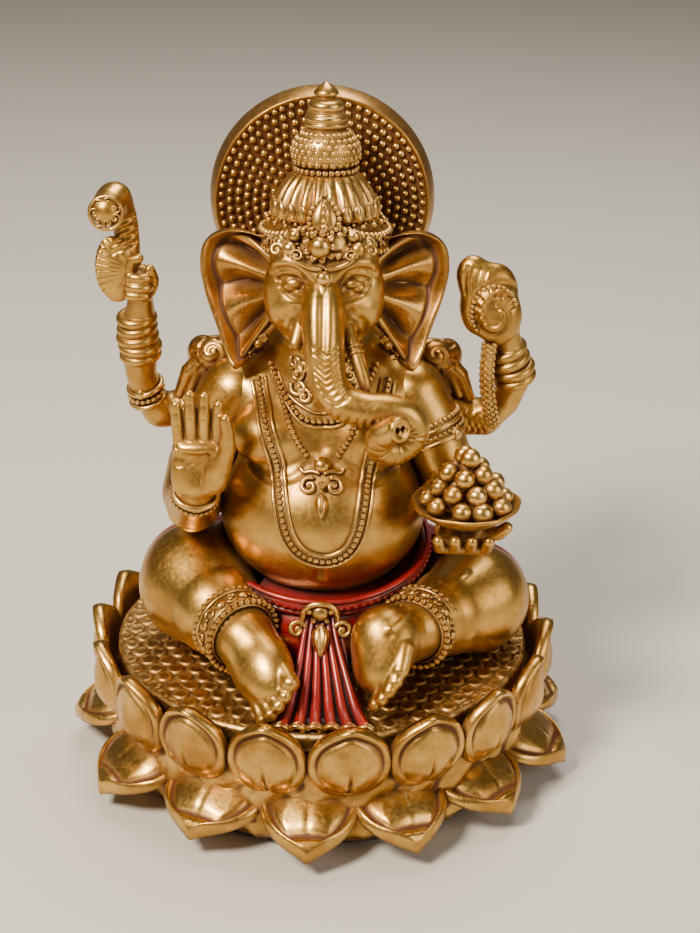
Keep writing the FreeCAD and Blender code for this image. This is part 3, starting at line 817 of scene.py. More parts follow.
def make_petals():
    """Both rows. A lower petal is as wide as its nearer neighbour allows."""
    for i, way in enumerate(LOWER_DIRECTIONS):
        after = (LOWER_DIRECTIONS[(i + 1) % len(LOWER_DIRECTIONS)] - way) % 360
        before = (way - LOWER_DIRECTIONS[i - 1]) % 360
        room = LOWER_WIDE_R * math.tan(math.radians(min(after, before) / 2)) - 0.05
        make_lower_petal(i, way, min(LOWER_HALF_MAX, room))
    for i in range(UPPER_COUNT):
        make_upper_petal(i, UPPER_FIRST + 360 / UPPER_COUNT * (i - 3))


def make_seat():
    """The cushion, covered with overlapping coin-like discs inside a raised edge."""
    seat = Clay((-31, -31, 14.6), (31, 31, 19.4), 0.2)
    seat.blend([(vec(-31, -31, 15), vec(31, 31, 18.4), lambda x, y, z: np.maximum(
        np.sqrt(x * x + y * y) - SEAT_R, np.abs(z - 16.85) - 1.1))])
    x, y = seat.axes[0][:, None], seat.axes[1][None, :]
    pitch = DISC_PITCH
    relief = np.zeros((x.size, y.size))
    row_gap = pitch * 0.866
    rows = int(SEAT_R / row_gap) + 1
    for row in range(-rows, rows + 1):
        for col in range(-12, 13):
            cx = (col + 0.5 * (row % 2)) * pitch + RNG.normal(0, 0.12)
            cy = row * row_gap + RNG.normal(0, 0.12)
            if math.hypot(cx, cy) > SEAT_R + 0.5:
                continue
            r = np.sqrt((x - cx) ** 2 + (y - cy) ** 2) / (DISC_R + RNG.normal(0, 0.03))
            coin = 0.36 * np.clip((1 - r) / 0.16, 0, 1) ** 0.6 - 0.14 * np.clip(1 - r / 0.72, 0, 1) ** 0.6
            tilt = 0.10 * (y - cy) / pitch * (r < 1)
            relief = np.maximum(relief, (coin + tilt) * (r < 1))
    away = np.sqrt(x ** 2 + y ** 2)
    relief = relief * (away < SEAT_R - 0.75) + 0.32 * np.exp(-((away - SEAT_R + 0.45) / 0.28) ** 2)
    seat.d -= (relief[..., None] * np.clip((seat.axes[2] - 17.0) / 0.6, 0, 1)[None, None,
                                                                              :]).astype(np.float32)
    make("seat_discs", *seat.skin(), GOLD_SEAT, "gold_paint", ["seat_pad"])


# ---------------------------------------------------------------- legs, cloth and feet
RIGHT_KNEE, LEFT_KNEE = vec(-17.8, -4.4, 28.4), vec(22.3, -4.4, 26.6)
RIGHT_SHIN, LEFT_SHIN = unit(vec(0.50, -0.86, -0.04)), unit(vec(-0.46, -0.88, 0.02))


def make_foot(clay, centre, along, across, toes, big):
    """A flattened foot with five toes in a row. big is the big toe's radius."""
    m = basis(along, across)
    clay.blend(egg(centre, (6.3, 3.5, 4.5), m), 1.6)
    for k, toe in enumerate(toes):
        r = big * (1.0, 0.80, 0.76, 0.72, 0.66)[k]
        root = toe - m[:, 0] * 2.4 + (centre - toe) * 0.12
        clay.blend(rod([root, toe - m[:, 0] * 0.3, toe + m[:, 0] * 0.45], [r * 1.05, r * 0.92, r]), 0.22)
        nail = toe + m[:, 0] * 0.75 * r + unit(vec(0.15, -0.5, 1.0)) * r * 0.86
        clay.crease([nail - m[:, 2] * r * 0.35, nail + m[:, 2] * r * 0.35], 0.3, -0.10)


def make_right_leg():
    """The folded leg whose foot rests on the seat."""
    right = Clay((-28, -31, 17.6), (-1.5, 4, 38.5), 0.2)
    right.blend(egg(RIGHT_KNEE, (8.3, 8.6, 8.5)))
    right.blend(rod([RIGHT_KNEE + vec(0.6, -2, 0), (-14.6, -11.6, 27.8), (-12.2, -15.8, 27.2),
                     (-10.4, -18.4, 26.8)],
                    [7.9, 6.7, 5.0, 4.3]), 2.5)
    along = unit(vec(0.42, -0.80, -0.42))
    toes = [vec(-4.0, -26.9, 25.0), vec(-4.7, -27.7, 23.4), vec(-5.6, -28.1, 22.1), vec(-6.6, -28.2, 20.9),
            vec(-7.7, -27.9, 19.9)]
    make_foot(right, vec(-7.9, -22.6, 24.7), along, toes[0] - toes[4], toes, 1.35)
    right.sit()
    make("right_leg_cast", *right.skin(), GOLD, "gold_paint", ["right_leg"])


def make_left_leg():
    """The other leg, its heel up and its toes pointing down, with a fold at the ankle."""
    left = Clay((3.5, -30, 17.6), (31, 4, 37), 0.2)
    left.blend(egg(LEFT_KNEE, (7.3, 7.6, 7.4)))
    left.blend(rod([LEFT_KNEE + vec(-0.6, -1.5, 0), (17.6, -10.6, 27.0), (14.2, -15.0, 27.4),
                    (11.6, -17.8, 27.4)],
                   [7.0, 6.1, 4.8, 4.2]), 2.5)
    along = unit(vec(-0.30, -0.52, -0.80))
    toes = [vec(11.0, -25.3, 26.4), vec(10.4, -26.3, 25.1), vec(9.6, -26.9, 24.0), vec(8.7, -27.1, 22.9),
            vec(7.7, -26.9, 21.9)]
    make_foot(left, vec(8.9, -21.6, 27.0), along, toes[0] - toes[4], toes, 1.3)
    left.blend(egg((8.4, -20.4, 28.2), (4.0, 3.8, 4.4)), 1.5)
    fold = left.front([(9.5, 31.2), (13.5, 32.6), (17.5, 33.4), (20.5, 33.2)])[0]
    left.crease(curve(fold, 12), 0.42, -0.34)
    left.crease(curve(fold - vec(0, 0.4, 1.0), 12), 0.5, 0.16)
    left.sit()
    make("left_leg_cast", *left.skin(), GOLD, "gold_paint", ["left_leg"])


def make_dhoti():
    """The red cloth: hips and thighs, open towards the shins, with folds drawn from the waist to the hems."""
    clay = Clay((-29, -19, 17.6), (31.5, 21, 39), 0.24)
    sleeves = ((RIGHT_KNEE + vec(0.9, 0.5, -0.5), RIGHT_SHIN, 8.35, vec(-7.5, 3.5, 27.0)),
               (LEFT_KNEE + vec(-0.9, 0.5, -0.3), LEFT_SHIN, 7.35, vec(8.5, 3.5, 26.4)))
    clay.blend(egg((0, 2.6, 25.2), (19, 14.6, 9.6)))
    clay.blend(egg((0, 7.5, 24.5), (22, 11.5, 8.8)), 3)
    clay.blend(rod([(-15.0, -5.4, 27.0), (0, -12.2, 25.6), (14.8, -6.0, 26.6)], [4.6, 5.2, 4.4]), 3)
    for knee, shin, r, hip in sleeves:
        clay.blend(rod([hip, knee - shin * 2.2], [9.0, r]), 3)
        hem = knee - shin * 0.4
        clay.carve([(hem - 12, hem + 12, lambda x, y, z, h=hem, s=shin: -np.maximum(
            (h[0] - x) * s[0] + (h[1] - y) * s[1] + (h[2] - z) * s[2],
            np.sqrt((x - h[0]) ** 2 + (y - h[1]) ** 2 + (z - h[2]) ** 2) - 11) * -1)], 0.3)
    for k, (knee, shin, r, hip) in enumerate(sleeves):
        side = -1 if k == 0 else 1
        for n, turn in enumerate(np.radians([-62, -34, -8, 18, 44, 70, 100, 128])):
            rise = vec(0, 0, 1) * math.cos(turn) + unit(np.cross(shin, vec(0, 0, 1))) * math.sin(turn) * side
            start = hip * 0.55 + vec(0, 2, 13.5) + rise * 4.2 * (1 + 0.2 * math.sin(3 * n))
            end = knee + rise * (r - 0.1)
            middle = (start + end) / 2 + rise * (3.2 + 0.5 * math.sin(5 * n + k))
            clay.crease(curve([start, middle, end], 14), 0.62, 0.55)
            clay.crease(curve([start, middle + vec(0.9 * side, 0, 0.2), end + vec(1.3 * side, 0.4, 0)], 14),
                        0.7, -0.34)
    for n in range(9):
        a = math.radians(205 + n * 16)
        out = vec(math.cos(a), -math.sin(a), 0)
        clay.crease(curve([out * vec(13, 13, 0) + vec(0, 3, 35), out * vec(19.5, 14.5, 0) + vec(0, 4, 29),
                           out * vec(23, 16, 0) + vec(math.sin(n) * 2, 4, 20)], 16), 0.75, 0.8)
    clay.sit()
    make("dhoti_cloth", *clay.skin(), RED, "red_paint", ["dhoti"])

    hems = Trim()
    for knee, shin, r, _ in sleeves:
        a = unit(np.cross(shin, vec(0, 0, 1)))
        b = np.cross(a, shin)
        turn = np.linspace(0, 2 * np.pi, 73)[:-1]
        ring = knee - shin * 0.9 + (r + 0.15) * (np.cos(turn)[:, None] * a + np.sin(turn)[:, None] * b)
        ring[:, 2] = np.maximum(ring[:, 2], 18.5)
        hems.tube(ring, 0.42, 8, closed=True)
        hems.beads(spaced(ring + shin * 0.75 - unit(ring - knee) * 0.25, 1.05, closed=True), 0.42)
    hems.make("dhoti_hems", GOLD_TRIM, "gold_paint")


def anklet(trim, centre, axis, radius, width, count):
    """A broad anklet: two cabled rails with volutes and bosses between them."""
    n = unit(axis)
    a = unit(np.cross(n, vec(0, 0, 1)))
    b = np.cross(n, a)
    turn = np.linspace(0, 2 * np.pi, 97)[:-1]
    ring = np.cos(turn)[:, None] * a + np.sin(turn)[:, None] * b
    band = [(radius - 0.5, -width * 0.55), (radius + 0.1, -width * 0.5), (radius + 0.12, 0),
            (radius + 0.1, width * 0.5),
            (radius - 0.5, width * 0.55)]
    trim.grid(np.stack([np.asarray(centre) + r * ring + h * n for r, h in band]), wrap=True)
    for side in (-1, 1):
        line = np.asarray(centre) + (radius + 0.2) * ring + side * width * 0.36 * n
        trim.tube(line, 0.24, 8, closed=True)
        edge = spaced(np.asarray(centre) + (radius + 0.25) * ring + side * width * 0.54 * n, 0.98,
                      closed=True)
        trim.beads(edge, 0.47)
    for k in range(count):
        t = 2 * np.pi * k / count
        out = math.cos(t) * a + math.sin(t) * b
        place = np.asarray(centre) + (radius + 0.15) * out
        along = -math.sin(t) * a + math.cos(t) * b
        if k % 2:
            trim.bead(place, 0.78, out, 0.7, 4)
        else:
            trim.scroll(place, out, along + 0.4 * n, 0.95, 1 if k % 4 else -1, thick=0.3)


def make_anklets():
    """One broad band above each foot."""
    right = Trim()
    anklet(right, (-11.7, -16.6, 27.2), RIGHT_SHIN + vec(0.06, 0, -0.05), 5.1, 3.6, 18)
    right.make("right_anklet_band", GOLD_TRIM, "gold_paint", ["anklets"])
    left = Trim()
    anklet(left, (13.6, -15.6, 27.4), LEFT_SHIN, 5.0, 3.4, 18)
    left.make("left_anklet_band", GOLD_TRIM, "gold_paint")


def make_sash():
    """Six pleats that fan out from the buckle over the seat's edge, each with a curled gilt hem."""
    cloth, gilt = Trim(), Trim()
    for k in range(6):
        f = (k - 2.5) / 2.5
        top = vec(1.7 * f, -16.9, 29.6)
        line = curve([top, top + vec(0.5 * f, -2.0, -2.4), vec(0.3 + 3.3 * f, -22.4, 23.4),
                      vec(0.5 + 4.6 * f, -26.2, 20.0), vec(0.7 + 5.7 * f, -28.9, 18.75)], 36)
        grow = np.linspace(0, 1, 36)
        for shift, width, deep in ((0.0, 0.26 + 0.62 * grow, 1.05), (0.5, 0.16 + 0.34 * grow, 0.7)):
            way = line + np.outer(grow * 0.9 + 0.2, vec(1, 0, 0)) * shift - np.outer(grow,
                                                                                    vec(0, 0, 0.25)) * shift
            cloth.tube(way, width, 12, flat=deep, up=vec(0, -0.62, 0.78))
        end = line[-1]
        curl = [end + vec(-0.95, -0.1, 0.05), end + vec(-0.5, -0.35, 0.55), end + vec(0.2, -0.4, 0.55),
                end + vec(0.8, -0.25, 0.1), end + vec(0.6, -0.2, -0.35)]
        gilt.tube(curve(curl, 16), 0.36, 8)
        gilt.tube(curve([end + vec(-1.0, 0.1, 0.1), end + vec(0, 0.2, 0.75), end + vec(1.0, 0.1, 0.1)], 12),
                  0.3, 8)
    back = [vec(x, 0, 0) for x in (-1, -0.5, 0, 0.5, 1)]
    rows = []
    for y, z, half in ((-15.5, 29.6, 2.2), (-18.8, 26.6, 2.9), (-22.2, 22.8, 4.0), (-26.0, 19.3, 5.6),
                       (-28.8, 18.2, 6.9)):
        rows.append([(0.4 + q[0] * half, y, z) for q in back])
    rows = np.array(rows)
    cloth.grid(np.stack([curve(rows[:, k], 20) for k in range(5)], axis=1))
    cloth.grid(np.stack([curve(rows[:, k] - vec(0, 0, 0.7), 20) for k in range(5)], axis=1)[:, ::-1])
    cloth.make("sash_cloth", RED, "red_paint", ["sash_pleats"], relief=True)
    gilt.make("sash_hems", GOLD_TRIM, "gold_paint")


def make_belt():
    """The waist belt's two rails and studs, and the buckle with its volutes and drop."""
    red, gold = Trim(), Trim()
    angle = np.linspace(0, 2 * np.pi, 145)[:-1]
    tilt = math.radians(14)
    ring = np.stack([15.15 * np.cos(angle), -1.9 - 14.9 * np.sin(angle) * math.cos(tilt),
                     34.0 - 14.9 * np.sin(angle) * math.sin(tilt)], axis=1)
    out = unit(ring - vec(0, -1.9, 34.0))
    up = unit(np.cross(np.roll(ring, 1, axis=0) - np.roll(ring, -1, axis=0), out))
    up = up * np.sign(up[:, 2:])
    for lift in (-1.05, 1.05):
        red.tube(ring + up * lift, 0.40, 10, closed=True)
    red.tube(ring - out * 0.45, 0.95, 12, closed=True)
    studs = spaced(ring + out * 0.25, 1.12, closed=True)
    red.beads(studs, 0.44)
    red.make("waist_belt_band", RED, "red_paint", ["waist_belt"], relief=True)

    c = vec(0, -17.3, 30.2)
    gold.tube(curve([c + vec(-2.6, -0.4, -2.0), c + vec(-2.3, -0.5, 0.2), c + vec(-1.5, -0.6, 1.3),
                     c + vec(0, -0.7, 1.7),
                     c + vec(1.5, -0.6, 1.3), c + vec(2.3, -0.5, 0.2), c + vec(2.6, -0.4, -2.0)], 32), 0.42,
              8)
    gold.bead(c + vec(0, -0.5, 0.2), 1.15, vec(0, -1, 0.2), 0.55, 4)
    for side in (-1, 1):
        gold.scroll(c + vec(3.2 * side, -0.9, -2.2), vec(0, -0.9, 0.42), vec(-side, 0, 0.3), 1.25, -side,
                    thick=0.34)
        gold.bead(c + vec(1.5 * side, -0.6, 0.4), 0.4)
        gold.bead(c + vec(0.9 * side, -0.8, -0.9), 0.38)
    gold.leaf(c + vec(0.1, -1.5, -1.0), vec(0, -0.85, 0.5), vec(0, -0.45, -0.9), 4.6, 1.25, rise=1.0,
              crease=0.45)
    gold.make("waist_buckle_gilt", GOLD_TRIM, "gold_paint", ["waist_buckle"])


# ---------------------------------------------------------------- torso
def make_torso():
    """The belly, chest, breasts, back and neck. The necklaces are laid on the clay that is returned."""
    clay = Clay((-17.5, -19.5, 26.5), (17.5, 13, 69), 0.22)
    clay.blend(egg((0, -3.6, 40.6), (14.5, 13.6, 12.4)))
    clay.blend(egg((0, -1.6, 52.5), (12.0, 9.4, 9.5)), 3)
    clay.blend(egg((0, 1.6, 47), (13.0, 8.6, 14)), 3)
    for side in (-1, 1):
        clay.blend(egg((side * 10.4, -0.4, 56.6), (5.0, 4.8, 4.6)), 3)
        clay.blend(egg((side * 6.7, -7.6, 52.6), (5.9, 4.8, 4.5)), 1.4)
        clay.blend(egg((side * 4.6, 6.6, 55), (4.2, 3.2, 6)), 2.4)
        clay.blend(egg((side * 7.0, 1.0, 61.6), (4.2, 4.4, 3.8)), 2.4)
    clay.blend(rod([(0, -1.5, 58), (0, -2.6, 66)], [7.0, 5.6]), 3)
    for side in (-1, 1):
        under = clay.front([(side * x, z)
                        for x, z in ((1.6, 50.3), (4.0, 48.6), (7.2, 47.9), (10.2, 48.8), (12.2, 51.2))])[0]
        clay.crease(curve(under, 22), 0.62, 0.55)
        clay.crease(curve(under + vec(0, 0.1, -0.9), 22), 0.7, -0.22)
    for points, deep in (([(0, 61), (0.0, 56), (0, 52.5)], 0.35), ([(0, 47), (0, 44)], 0.1)):
        clay.crease(curve(clay.front(points)[0], 12), 0.8, deep)
    spine = clay.drop([(0, 20, z) for z in (40, 46, 52, 58)], vec(0, -1, 0), 30)[0]
    clay.crease(curve(spine, 20), 1.0, 0.6)
    clay.crease(clay.front([(0.0, 35.6), (0.0, 34.7)])[0], 0.75, 0.75)
    make("torso_cast", *clay.skin(), GOLD, "gold_paint", ["torso"])
    return clay


def lay_line(clay, pairs, count, lift=0.0):
    """A smooth line laid on the clay's front through (x, z) points, with the outward direction along it."""
    flat = curve(pairs, count)
    hit, normal = clay.front(flat)
    for _ in range(3):
        hit[1:-1] = (hit[:-2] + 2 * hit[1:-1] + hit[2:]) / 4
    return hit + normal * lift, normal


def lay_point(clay, x, z):
    """The point on the clay seen from the front at this x and height, reached from outside the body."""
    start = vec(2.6 * x, -30, z + 4)
    way = unit(vec(0, -1.0, z - 1.0) - start)
    hit, normal = clay.drop([start], way, 45)
    return hit[0], normal[0]


def make_long_necklace(torso):
    """A studded ribbon between two rails, hanging in a loop over the belly."""
    long_string = Trim()
    route = [(-8.9, 59.6), (-8.3, 57.6), (-7.4, 54.6), (-6.3, 51.0), (-5.7, 47.5), (-5.3, 44.4),
             (-4.4, 41.3), (-2.6, 39.0),
             (0.5, 38.0), (3.3, 39.0), (4.9, 41.6), (5.7, 45.0), (6.2, 48.5), (6.9, 52.0), (7.7, 55.6),
             (8.3, 57.6), (8.9, 59.6)]
    line, normal = lay_line(torso, route, 150, 0.10)
    along = unit(np.gradient(line, axis=0))
    side = np.cross(along, normal)
    ribbon = np.stack([line + side * w + normal * h for w, h in (
        (-1.15, -0.5), (-1.0, 0.12), (0, 0.05), (1.0, 0.12), (1.15, -0.5))], axis=1)
    long_string.grid(ribbon)
    for w in (-0.95, 0.95):
        long_string.tube(line + side * w + normal * 0.16, 0.27, 8)
    studs = spaced(np.hstack([line + normal * 0.22, normal]), 0.86)
    long_string.beads(studs[:, :3], 0.42)
    long_string.make("long_necklace_gilt", GOLD_TRIM, "gold_paint", ["necklaces"])


def make_pendant_necklace(torso):
    """Bead strings, the collar's rails and volutes, and the pendant."""
    collar = Trim()
    inner = [(-6.2, 60.2), (-4.9, 56.5), (-3.6, 53.6), (-2.2, 51.4)]
    for sign in (-1, 1):
        string, normal = lay_line(torso, [(x * -sign, z) for x, z in inner], 60, 0.25)
        studs = spaced(string, 0.74)
        collar.beads(studs, 0.40)
    for radius_x, low, lift in ((6.2, 56.8, 0.15), (7.4, 55.0, 0.15)):
        arc = [(-radius_x * 0.98, 61.0), (-radius_x * 0.8, 59.0), (-radius_x * 0.42, low + 0.7), (0, low),
               (radius_x * 0.42, low + 0.7), (radius_x * 0.8, 59.0), (radius_x * 0.98, 61.0)]
        rail, normal = lay_line(torso, arc, 90, lift)
        collar.tube(rail, 0.27, 8)
        if radius_x > 7:
            studs = spaced(rail + vec(0, -0.2, 0.95), 0.86)
            collar.beads(studs, 0.4)
    for x, z, size, hand in ((-5.9, 61.4, 1.2, 1), (-4.9, 59.6, 1.25, -1), (-3.4, 58.4, 1.1, 1),
                             (-4.6, 62.6, 1.0, -1),
                             (-2.2, 60.2, 0.9, 1), (-6.4, 63.2, 0.95, -1)):
        for sign in (-1, 1):
            hit, normal = lay_point(torso, x * -sign, z)
            collar.scroll(hit, normal, vec(sign, 0, 0.6), size, hand * sign, lift=0.3)
    hit, normal = torso.front([(0.0, 50.2)])
    gem, n = hit[0], normal[0]
    collar.bead(gem + n * 0.35, 1.15, n, 0.8, 5)
    for sign in (-1, 1):
        hit, normal = torso.front([(1.65 * sign, 47.9)])
        collar.scroll(hit[0], normal[0], vec(-sign * 0.4, 0, 1), 1.25, -sign, 1.4, thick=0.32, lift=0.35)
        line, normal = lay_line(torso, [(0.3 * sign, 49.2), (1.3 * sign, 49.5), (2.4 * sign, 49.1),
                                        (3.0 * sign, 49.8)], 14, 0.3)
        collar.tube(line, 0.28, 8)
    hit, normal = torso.front([(0.0, 47.2)])
    collar.leaf(hit[0] + normal[0] * 0.35, normal[0], vec(0, 0, -1), 3.6, 0.85, rise=0.75, crease=0.1)
    collar.bead(hit[0] + normal[0] * 0.5 + vec(0, 0, 1.1), 0.55)
    collar.make("pendant_necklace_gilt", GOLD_TRIM, "gold_paint")


def make_nape_string(torso):
    """The necklaces' string where it passes behind the neck."""
    nape = Trim()
    ring = []
    for t in np.radians(np.linspace(200, 340, 60)):
        start = vec(30 * math.cos(t), -30 * math.sin(t), 62.0 - 0.6 * math.sin(t))
        ring.append(torso.drop([start], vec(-math.cos(t), math.sin(t), 0), 40)[0][0])
    ring = np.array(ring)
    for drop in (0.0, -1.7):
        nape.tube(ring + vec(0, 0.05, drop), 0.27, 8)
    studs = spaced(ring + vec(0, 0.15, -0.85), 0.86)
    nape.beads(studs, 0.42)
    nape.make("nape_string_gilt", GOLD_TRIM, "gold_paint")


# ---------------------------------------------------------------- arms and hands
def bangle(trim, centre, axis, radius, thick=0.32, cable=False):
    """A ring round a limb, plain or beaded like a cable."""
    n = unit(axis)
    a = unit(np.cross(n, vec(0.3, 0.1, 1)))
    b = np.cross(n, a)
    turn = np.linspace(0, 2 * np.pi, 49)[:-1]
    ring = np.asarray(centre) + radius * (np.cos(turn)[:, None] * a + np.sin(turn)[:, None] * b)
    if cable:
        studs = spaced(ring, thick * 2.1, closed=True)
        trim.beads(studs, thick)
    else:
        trim.tube(ring, thick, 10, closed=True)


def make_right_front_arm():
    """The arm that is raised in blessing, with its open palm to the front."""
    arm = Clay((-24, -19.5, 36), (-8, 6, 64), 0.16)
    arm.blend(rod([(-12.2, -0.6, 56.2), (-15.4, -1.6, 51.5), (-17.6, -2.8, 45.5), (-18.0, -4.4, 42.6)],
                  [5.0, 4.7, 4.4, 4.3]))
    arm.blend(rod([(-18.0, -4.6, 42.4), (-17.9, -9.5, 42.6), (-17.4, -13.0, 45.4), (-16.9, -14.4, 48.0)],
                  [4.2, 3.7, 3.0, 2.5]), 1.6)
    arm.blend(slab((-16.4, -15.2, 51.3), (3.5, 1.25, 3.9), turned(x=-6), bevel=1.2), 1.5)
    arm.blend(egg((-14.0, -16.0, 50.4), (1.7, 1.3, 2.9), turned(y=12)), 0.9)
    arm.blend(egg((-18.7, -15.8, 50.2), (1.3, 1.2, 2.9)), 0.9)
    arm.blend(egg((-16.6, -15.9, 53.8), (3.2, 1.1, 1.0)), 0.7)
    arm.blend(egg((-16.6, -14.2, 51.4), (3.3, 1.6, 3.9), turned(x=-6)), 1.0)
    arm.blend(slab((-16.55, -15.2, 56.4), (2.4, 0.3, 3.0), turned(x=-2), bevel=0.25), 0.2)
    for x, base, tip, r in ((-19.1, 54.4, 60.6, 0.74), (-17.4, 55.0, 62.1, 0.80),
                            (-15.65, 55.0, 61.9, 0.80), (-13.95, 54.4, 60.7, 0.76)):
        lean = (x + 16.5) * 0.06
        line = [(x, -15.3, base), (x + lean, -15.7, (base + tip) / 2), (x + 1.6 * lean, -15.5, tip - r)]
        arm.blend(rod(line, [r * 1.05, r, r * 0.9]), 0.12)
        for part in (0.18, 0.48, 0.74):
            z = base + (tip - base) * part
            arm.crease([(x - r, -16.4, z), (x + r, -16.4, z)], 0.2, 0.16)
    arm.blend(rod([(-13.4, -15.9, 51.4), (-12.5, -16.5, 54.0), (-12.4, -16.7, 56.6), (-12.7, -16.8, 58.4)],
                  [1.35, 1.1, 0.95, 0.8]), 0.5)
    for points in ([(-19.6, 54.2), (-17.5, 53.1), (-15.0, 53.2)],
                   [(-19.4, 51.6), (-17.2, 51.9), (-15.2, 53.4)],
                   [(-15.1, 53.0), (-15.9, 50.8), (-15.6, 48.2)]):
        arm.crease(curve(arm.front(points, y=-24)[0], 12), 0.26, 0.24)
    make("right_front_arm_cast", *arm.skin(), GOLD, "gold_paint", ["right_front_arm"])


def make_left_front_arm():
    """The arm that holds the bowl on its open hand."""
    other = Clay((8, -21, 34), (27, 6, 62), 0.18)
    other.blend(rod([(12.2, -0.6, 56.2), (14.6, -1.4, 52.0), (17.0, -2.6, 46.8), (18.4, -4.2, 42.8)],
                    [5.0, 4.7, 4.2, 3.9]))
    other.blend(rod([(18.4, -4.4, 42.6), (18.9, -9.0, 40.6), (19.0, -12.6, 40.0)], [3.8, 3.1, 2.5]), 1.5)
    other.blend(slab((19.3, -15.6, 40.6), (3.4, 3.3, 1.1), turned(x=-8), bevel=1.0), 1.2)
    for x in (16.4, 18.2, 20.0, 21.8):
        other.blend(rod([(x, -16.2, 40.6), (x + (x - 19) * 0.16, -18.8, 41.2),
                         (x + (x - 19) * 0.26, -19.9, 42.6)],
                        [0.95, 0.88, 0.78]), 0.15)
    other.blend(rod([(22.0, -13.6, 40.6), (24.2, -14.6, 41.4), (25.2, -15.4, 42.6)], [1.1, 1.0, 0.85]), 0.3)
    make("left_front_arm_cast", *other.skin(), GOLD, "gold_paint", ["left_front_arm"])


def make_front_arm_bands():
    """Bracelets at the wrists and four-ring bands round the upper arms."""
    rings = Trim()
    bangle(rings, (-17.1, -13.7, 46.7), (0.16, -0.5, 0.85), 3.05, 0.42)
    bangle(rings, (-17.3, -13.1, 45.9), (0.16, -0.55, 0.82), 3.25, 0.34, cable=True)
    for side, at, axis in ((-1, vec(-15.6, -1.7, 51.2), vec(-0.34, -0.12, -0.9)),
                           (1, vec(14.9, -1.5, 51.5), vec(0.38, -0.12, -0.9))):
        for shift, cable in ((-1.3, True), (-0.4, False), (0.5, True), (1.4, False)):
            bangle(rings, at + unit(axis) * shift, axis, 4.72, 0.36, cable)
        out = unit(vec(side * 0.75, -0.65, 0.1))
        rings.bead(at + out * 4.9, 1.0, out, 0.6, 4)
    bangle(rings, (18.95, -10.9, 40.3), (0.02, -1, -0.2), 2.95, 0.4, cable=True)
    bangle(rings, (18.95, -11.6, 40.2), (0.02, -1, -0.2), 2.8, 0.34)
    rings.make("front_arm_bands", GOLD_TRIM, "gold_paint")


def fist(clay, centre, grip, out, size=1.0):
    """A hand closed round a shaft along grip, knuckles towards out, with the first finger raised along it."""
    g, o = unit(grip), unit(out)
    s = np.cross(g, o)
    clay.blend(egg(centre, (2.1 * size, 1.6 * size, 2.6 * size), np.stack([s, o, g], axis=1)), 0.9)
    for lift, reach, r in ((0.9, 1.0, 0.72), (-0.45, 1.05, 0.74), (-1.75, 0.9, 0.66)):
        root = centre + g * lift * size
        line = [root - s * 1.9 * size, root + o * 1.5 * size - s * 1.6 * size,
                root + o * 2.15 * reach * size - s * 0.4 * size,
                root + o * 2.0 * reach * size + s * 0.75 * size, root + o * 1.0 * size + s * 1.2 * size]
        clay.blend(rod(curve(line, 9), r * size), 0.08)
    raised = [centre - s * 1.5 * size + o * 0.9 * size - g * 0.6 * size,
              centre - s * 1.7 * size + o * 1.3 * size + g * 1.6 * size,
              centre - s * 1.4 * size + o * 1.5 * size + g * 3.2 * size,
              centre - s * 0.4 * size + o * 1.9 * size + g * 3.7 * size]
    clay.blend(rod(curve(raised, 9), 0.70 * size), 0.15)
    thumb = [centre + s * 1.5 * size - g * 1.4 * size, centre + s * 1.9 * size + o * 0.8 * size
             + g * 0.4 * size,
             centre + s * 1.2 * size + o * 1.5 * size + g * 2.1 * size]
    clay.blend(rod(curve(thumb, 6), 0.74 * size), 0.2)


def cuff(clay, centre, axis, radius, count, pitch, fat):
    """Broad wrapped ridges round a wrist, rising from centre along axis."""
    n = unit(axis)
    for k in range(count):
        at = centre + n * pitch * k + vec(0.12 * math.sin(2.1 * k), 0, 0)
        tilt = unit(n + vec(0.07 * math.sin(1.7 * k), 0, 0.05 * math.cos(2.3 * k)))
        clay.blend(hoop(at, tilt, radius + 0.12 * math.sin(1.3 * k), fat), 0.10)


def make_right_rear_arm():
    """The raised arm that holds the axe."""
    arm = Clay((-31, -5, 45), (-8, 10, 78), 0.17)
    arm.blend(rod([(-10.5, 4.2, 56.0), (-16.5, 4.9, 52.8), (-21.2, 4.8, 51.4), (-23.4, 4.4, 51.4)],
                  [3.9, 3.1, 2.7, 2.5]))
    arm.blend(rod([(-23.6, 4.3, 51.5), (-25.3, 3.3, 54.4), (-25.9, 2.2, 58.0), (-25.8, 1.2, 62.0),
                   (-25.6, 0.6, 66.5), (-25.4, 0.2, 69.6)],
                  [2.5, 2.15, 2.2, 2.5, 2.2, 1.7]), 0.6)
    cuff(arm, vec(-25.8, 1.6, 60.8), vec(-0.06, -0.17, 1.0), 2.3, 5, 1.45, 0.70)
    fist(arm, vec(-25.3, -0.1, 71.9), vec(0.05, 0.1, 1), vec(0.15, -1, 0.1), 0.97)
    for k in range(9):
        x = -22.4 + 1.15 * k
        line = arm.front([(x - 0.9, 53.9 + 0.2 * k), (x + 0.1, 52.6 + 0.2 * k), (x + 0.9, 50.6 + 0.25 * k)],
                         y=-8)[0]
        arm.crease(curve(line, 8), 0.22, 0.24)
    make("right_rear_arm_cast", *arm.skin(), GOLD, "gold_paint", ["right_rear_arm"])


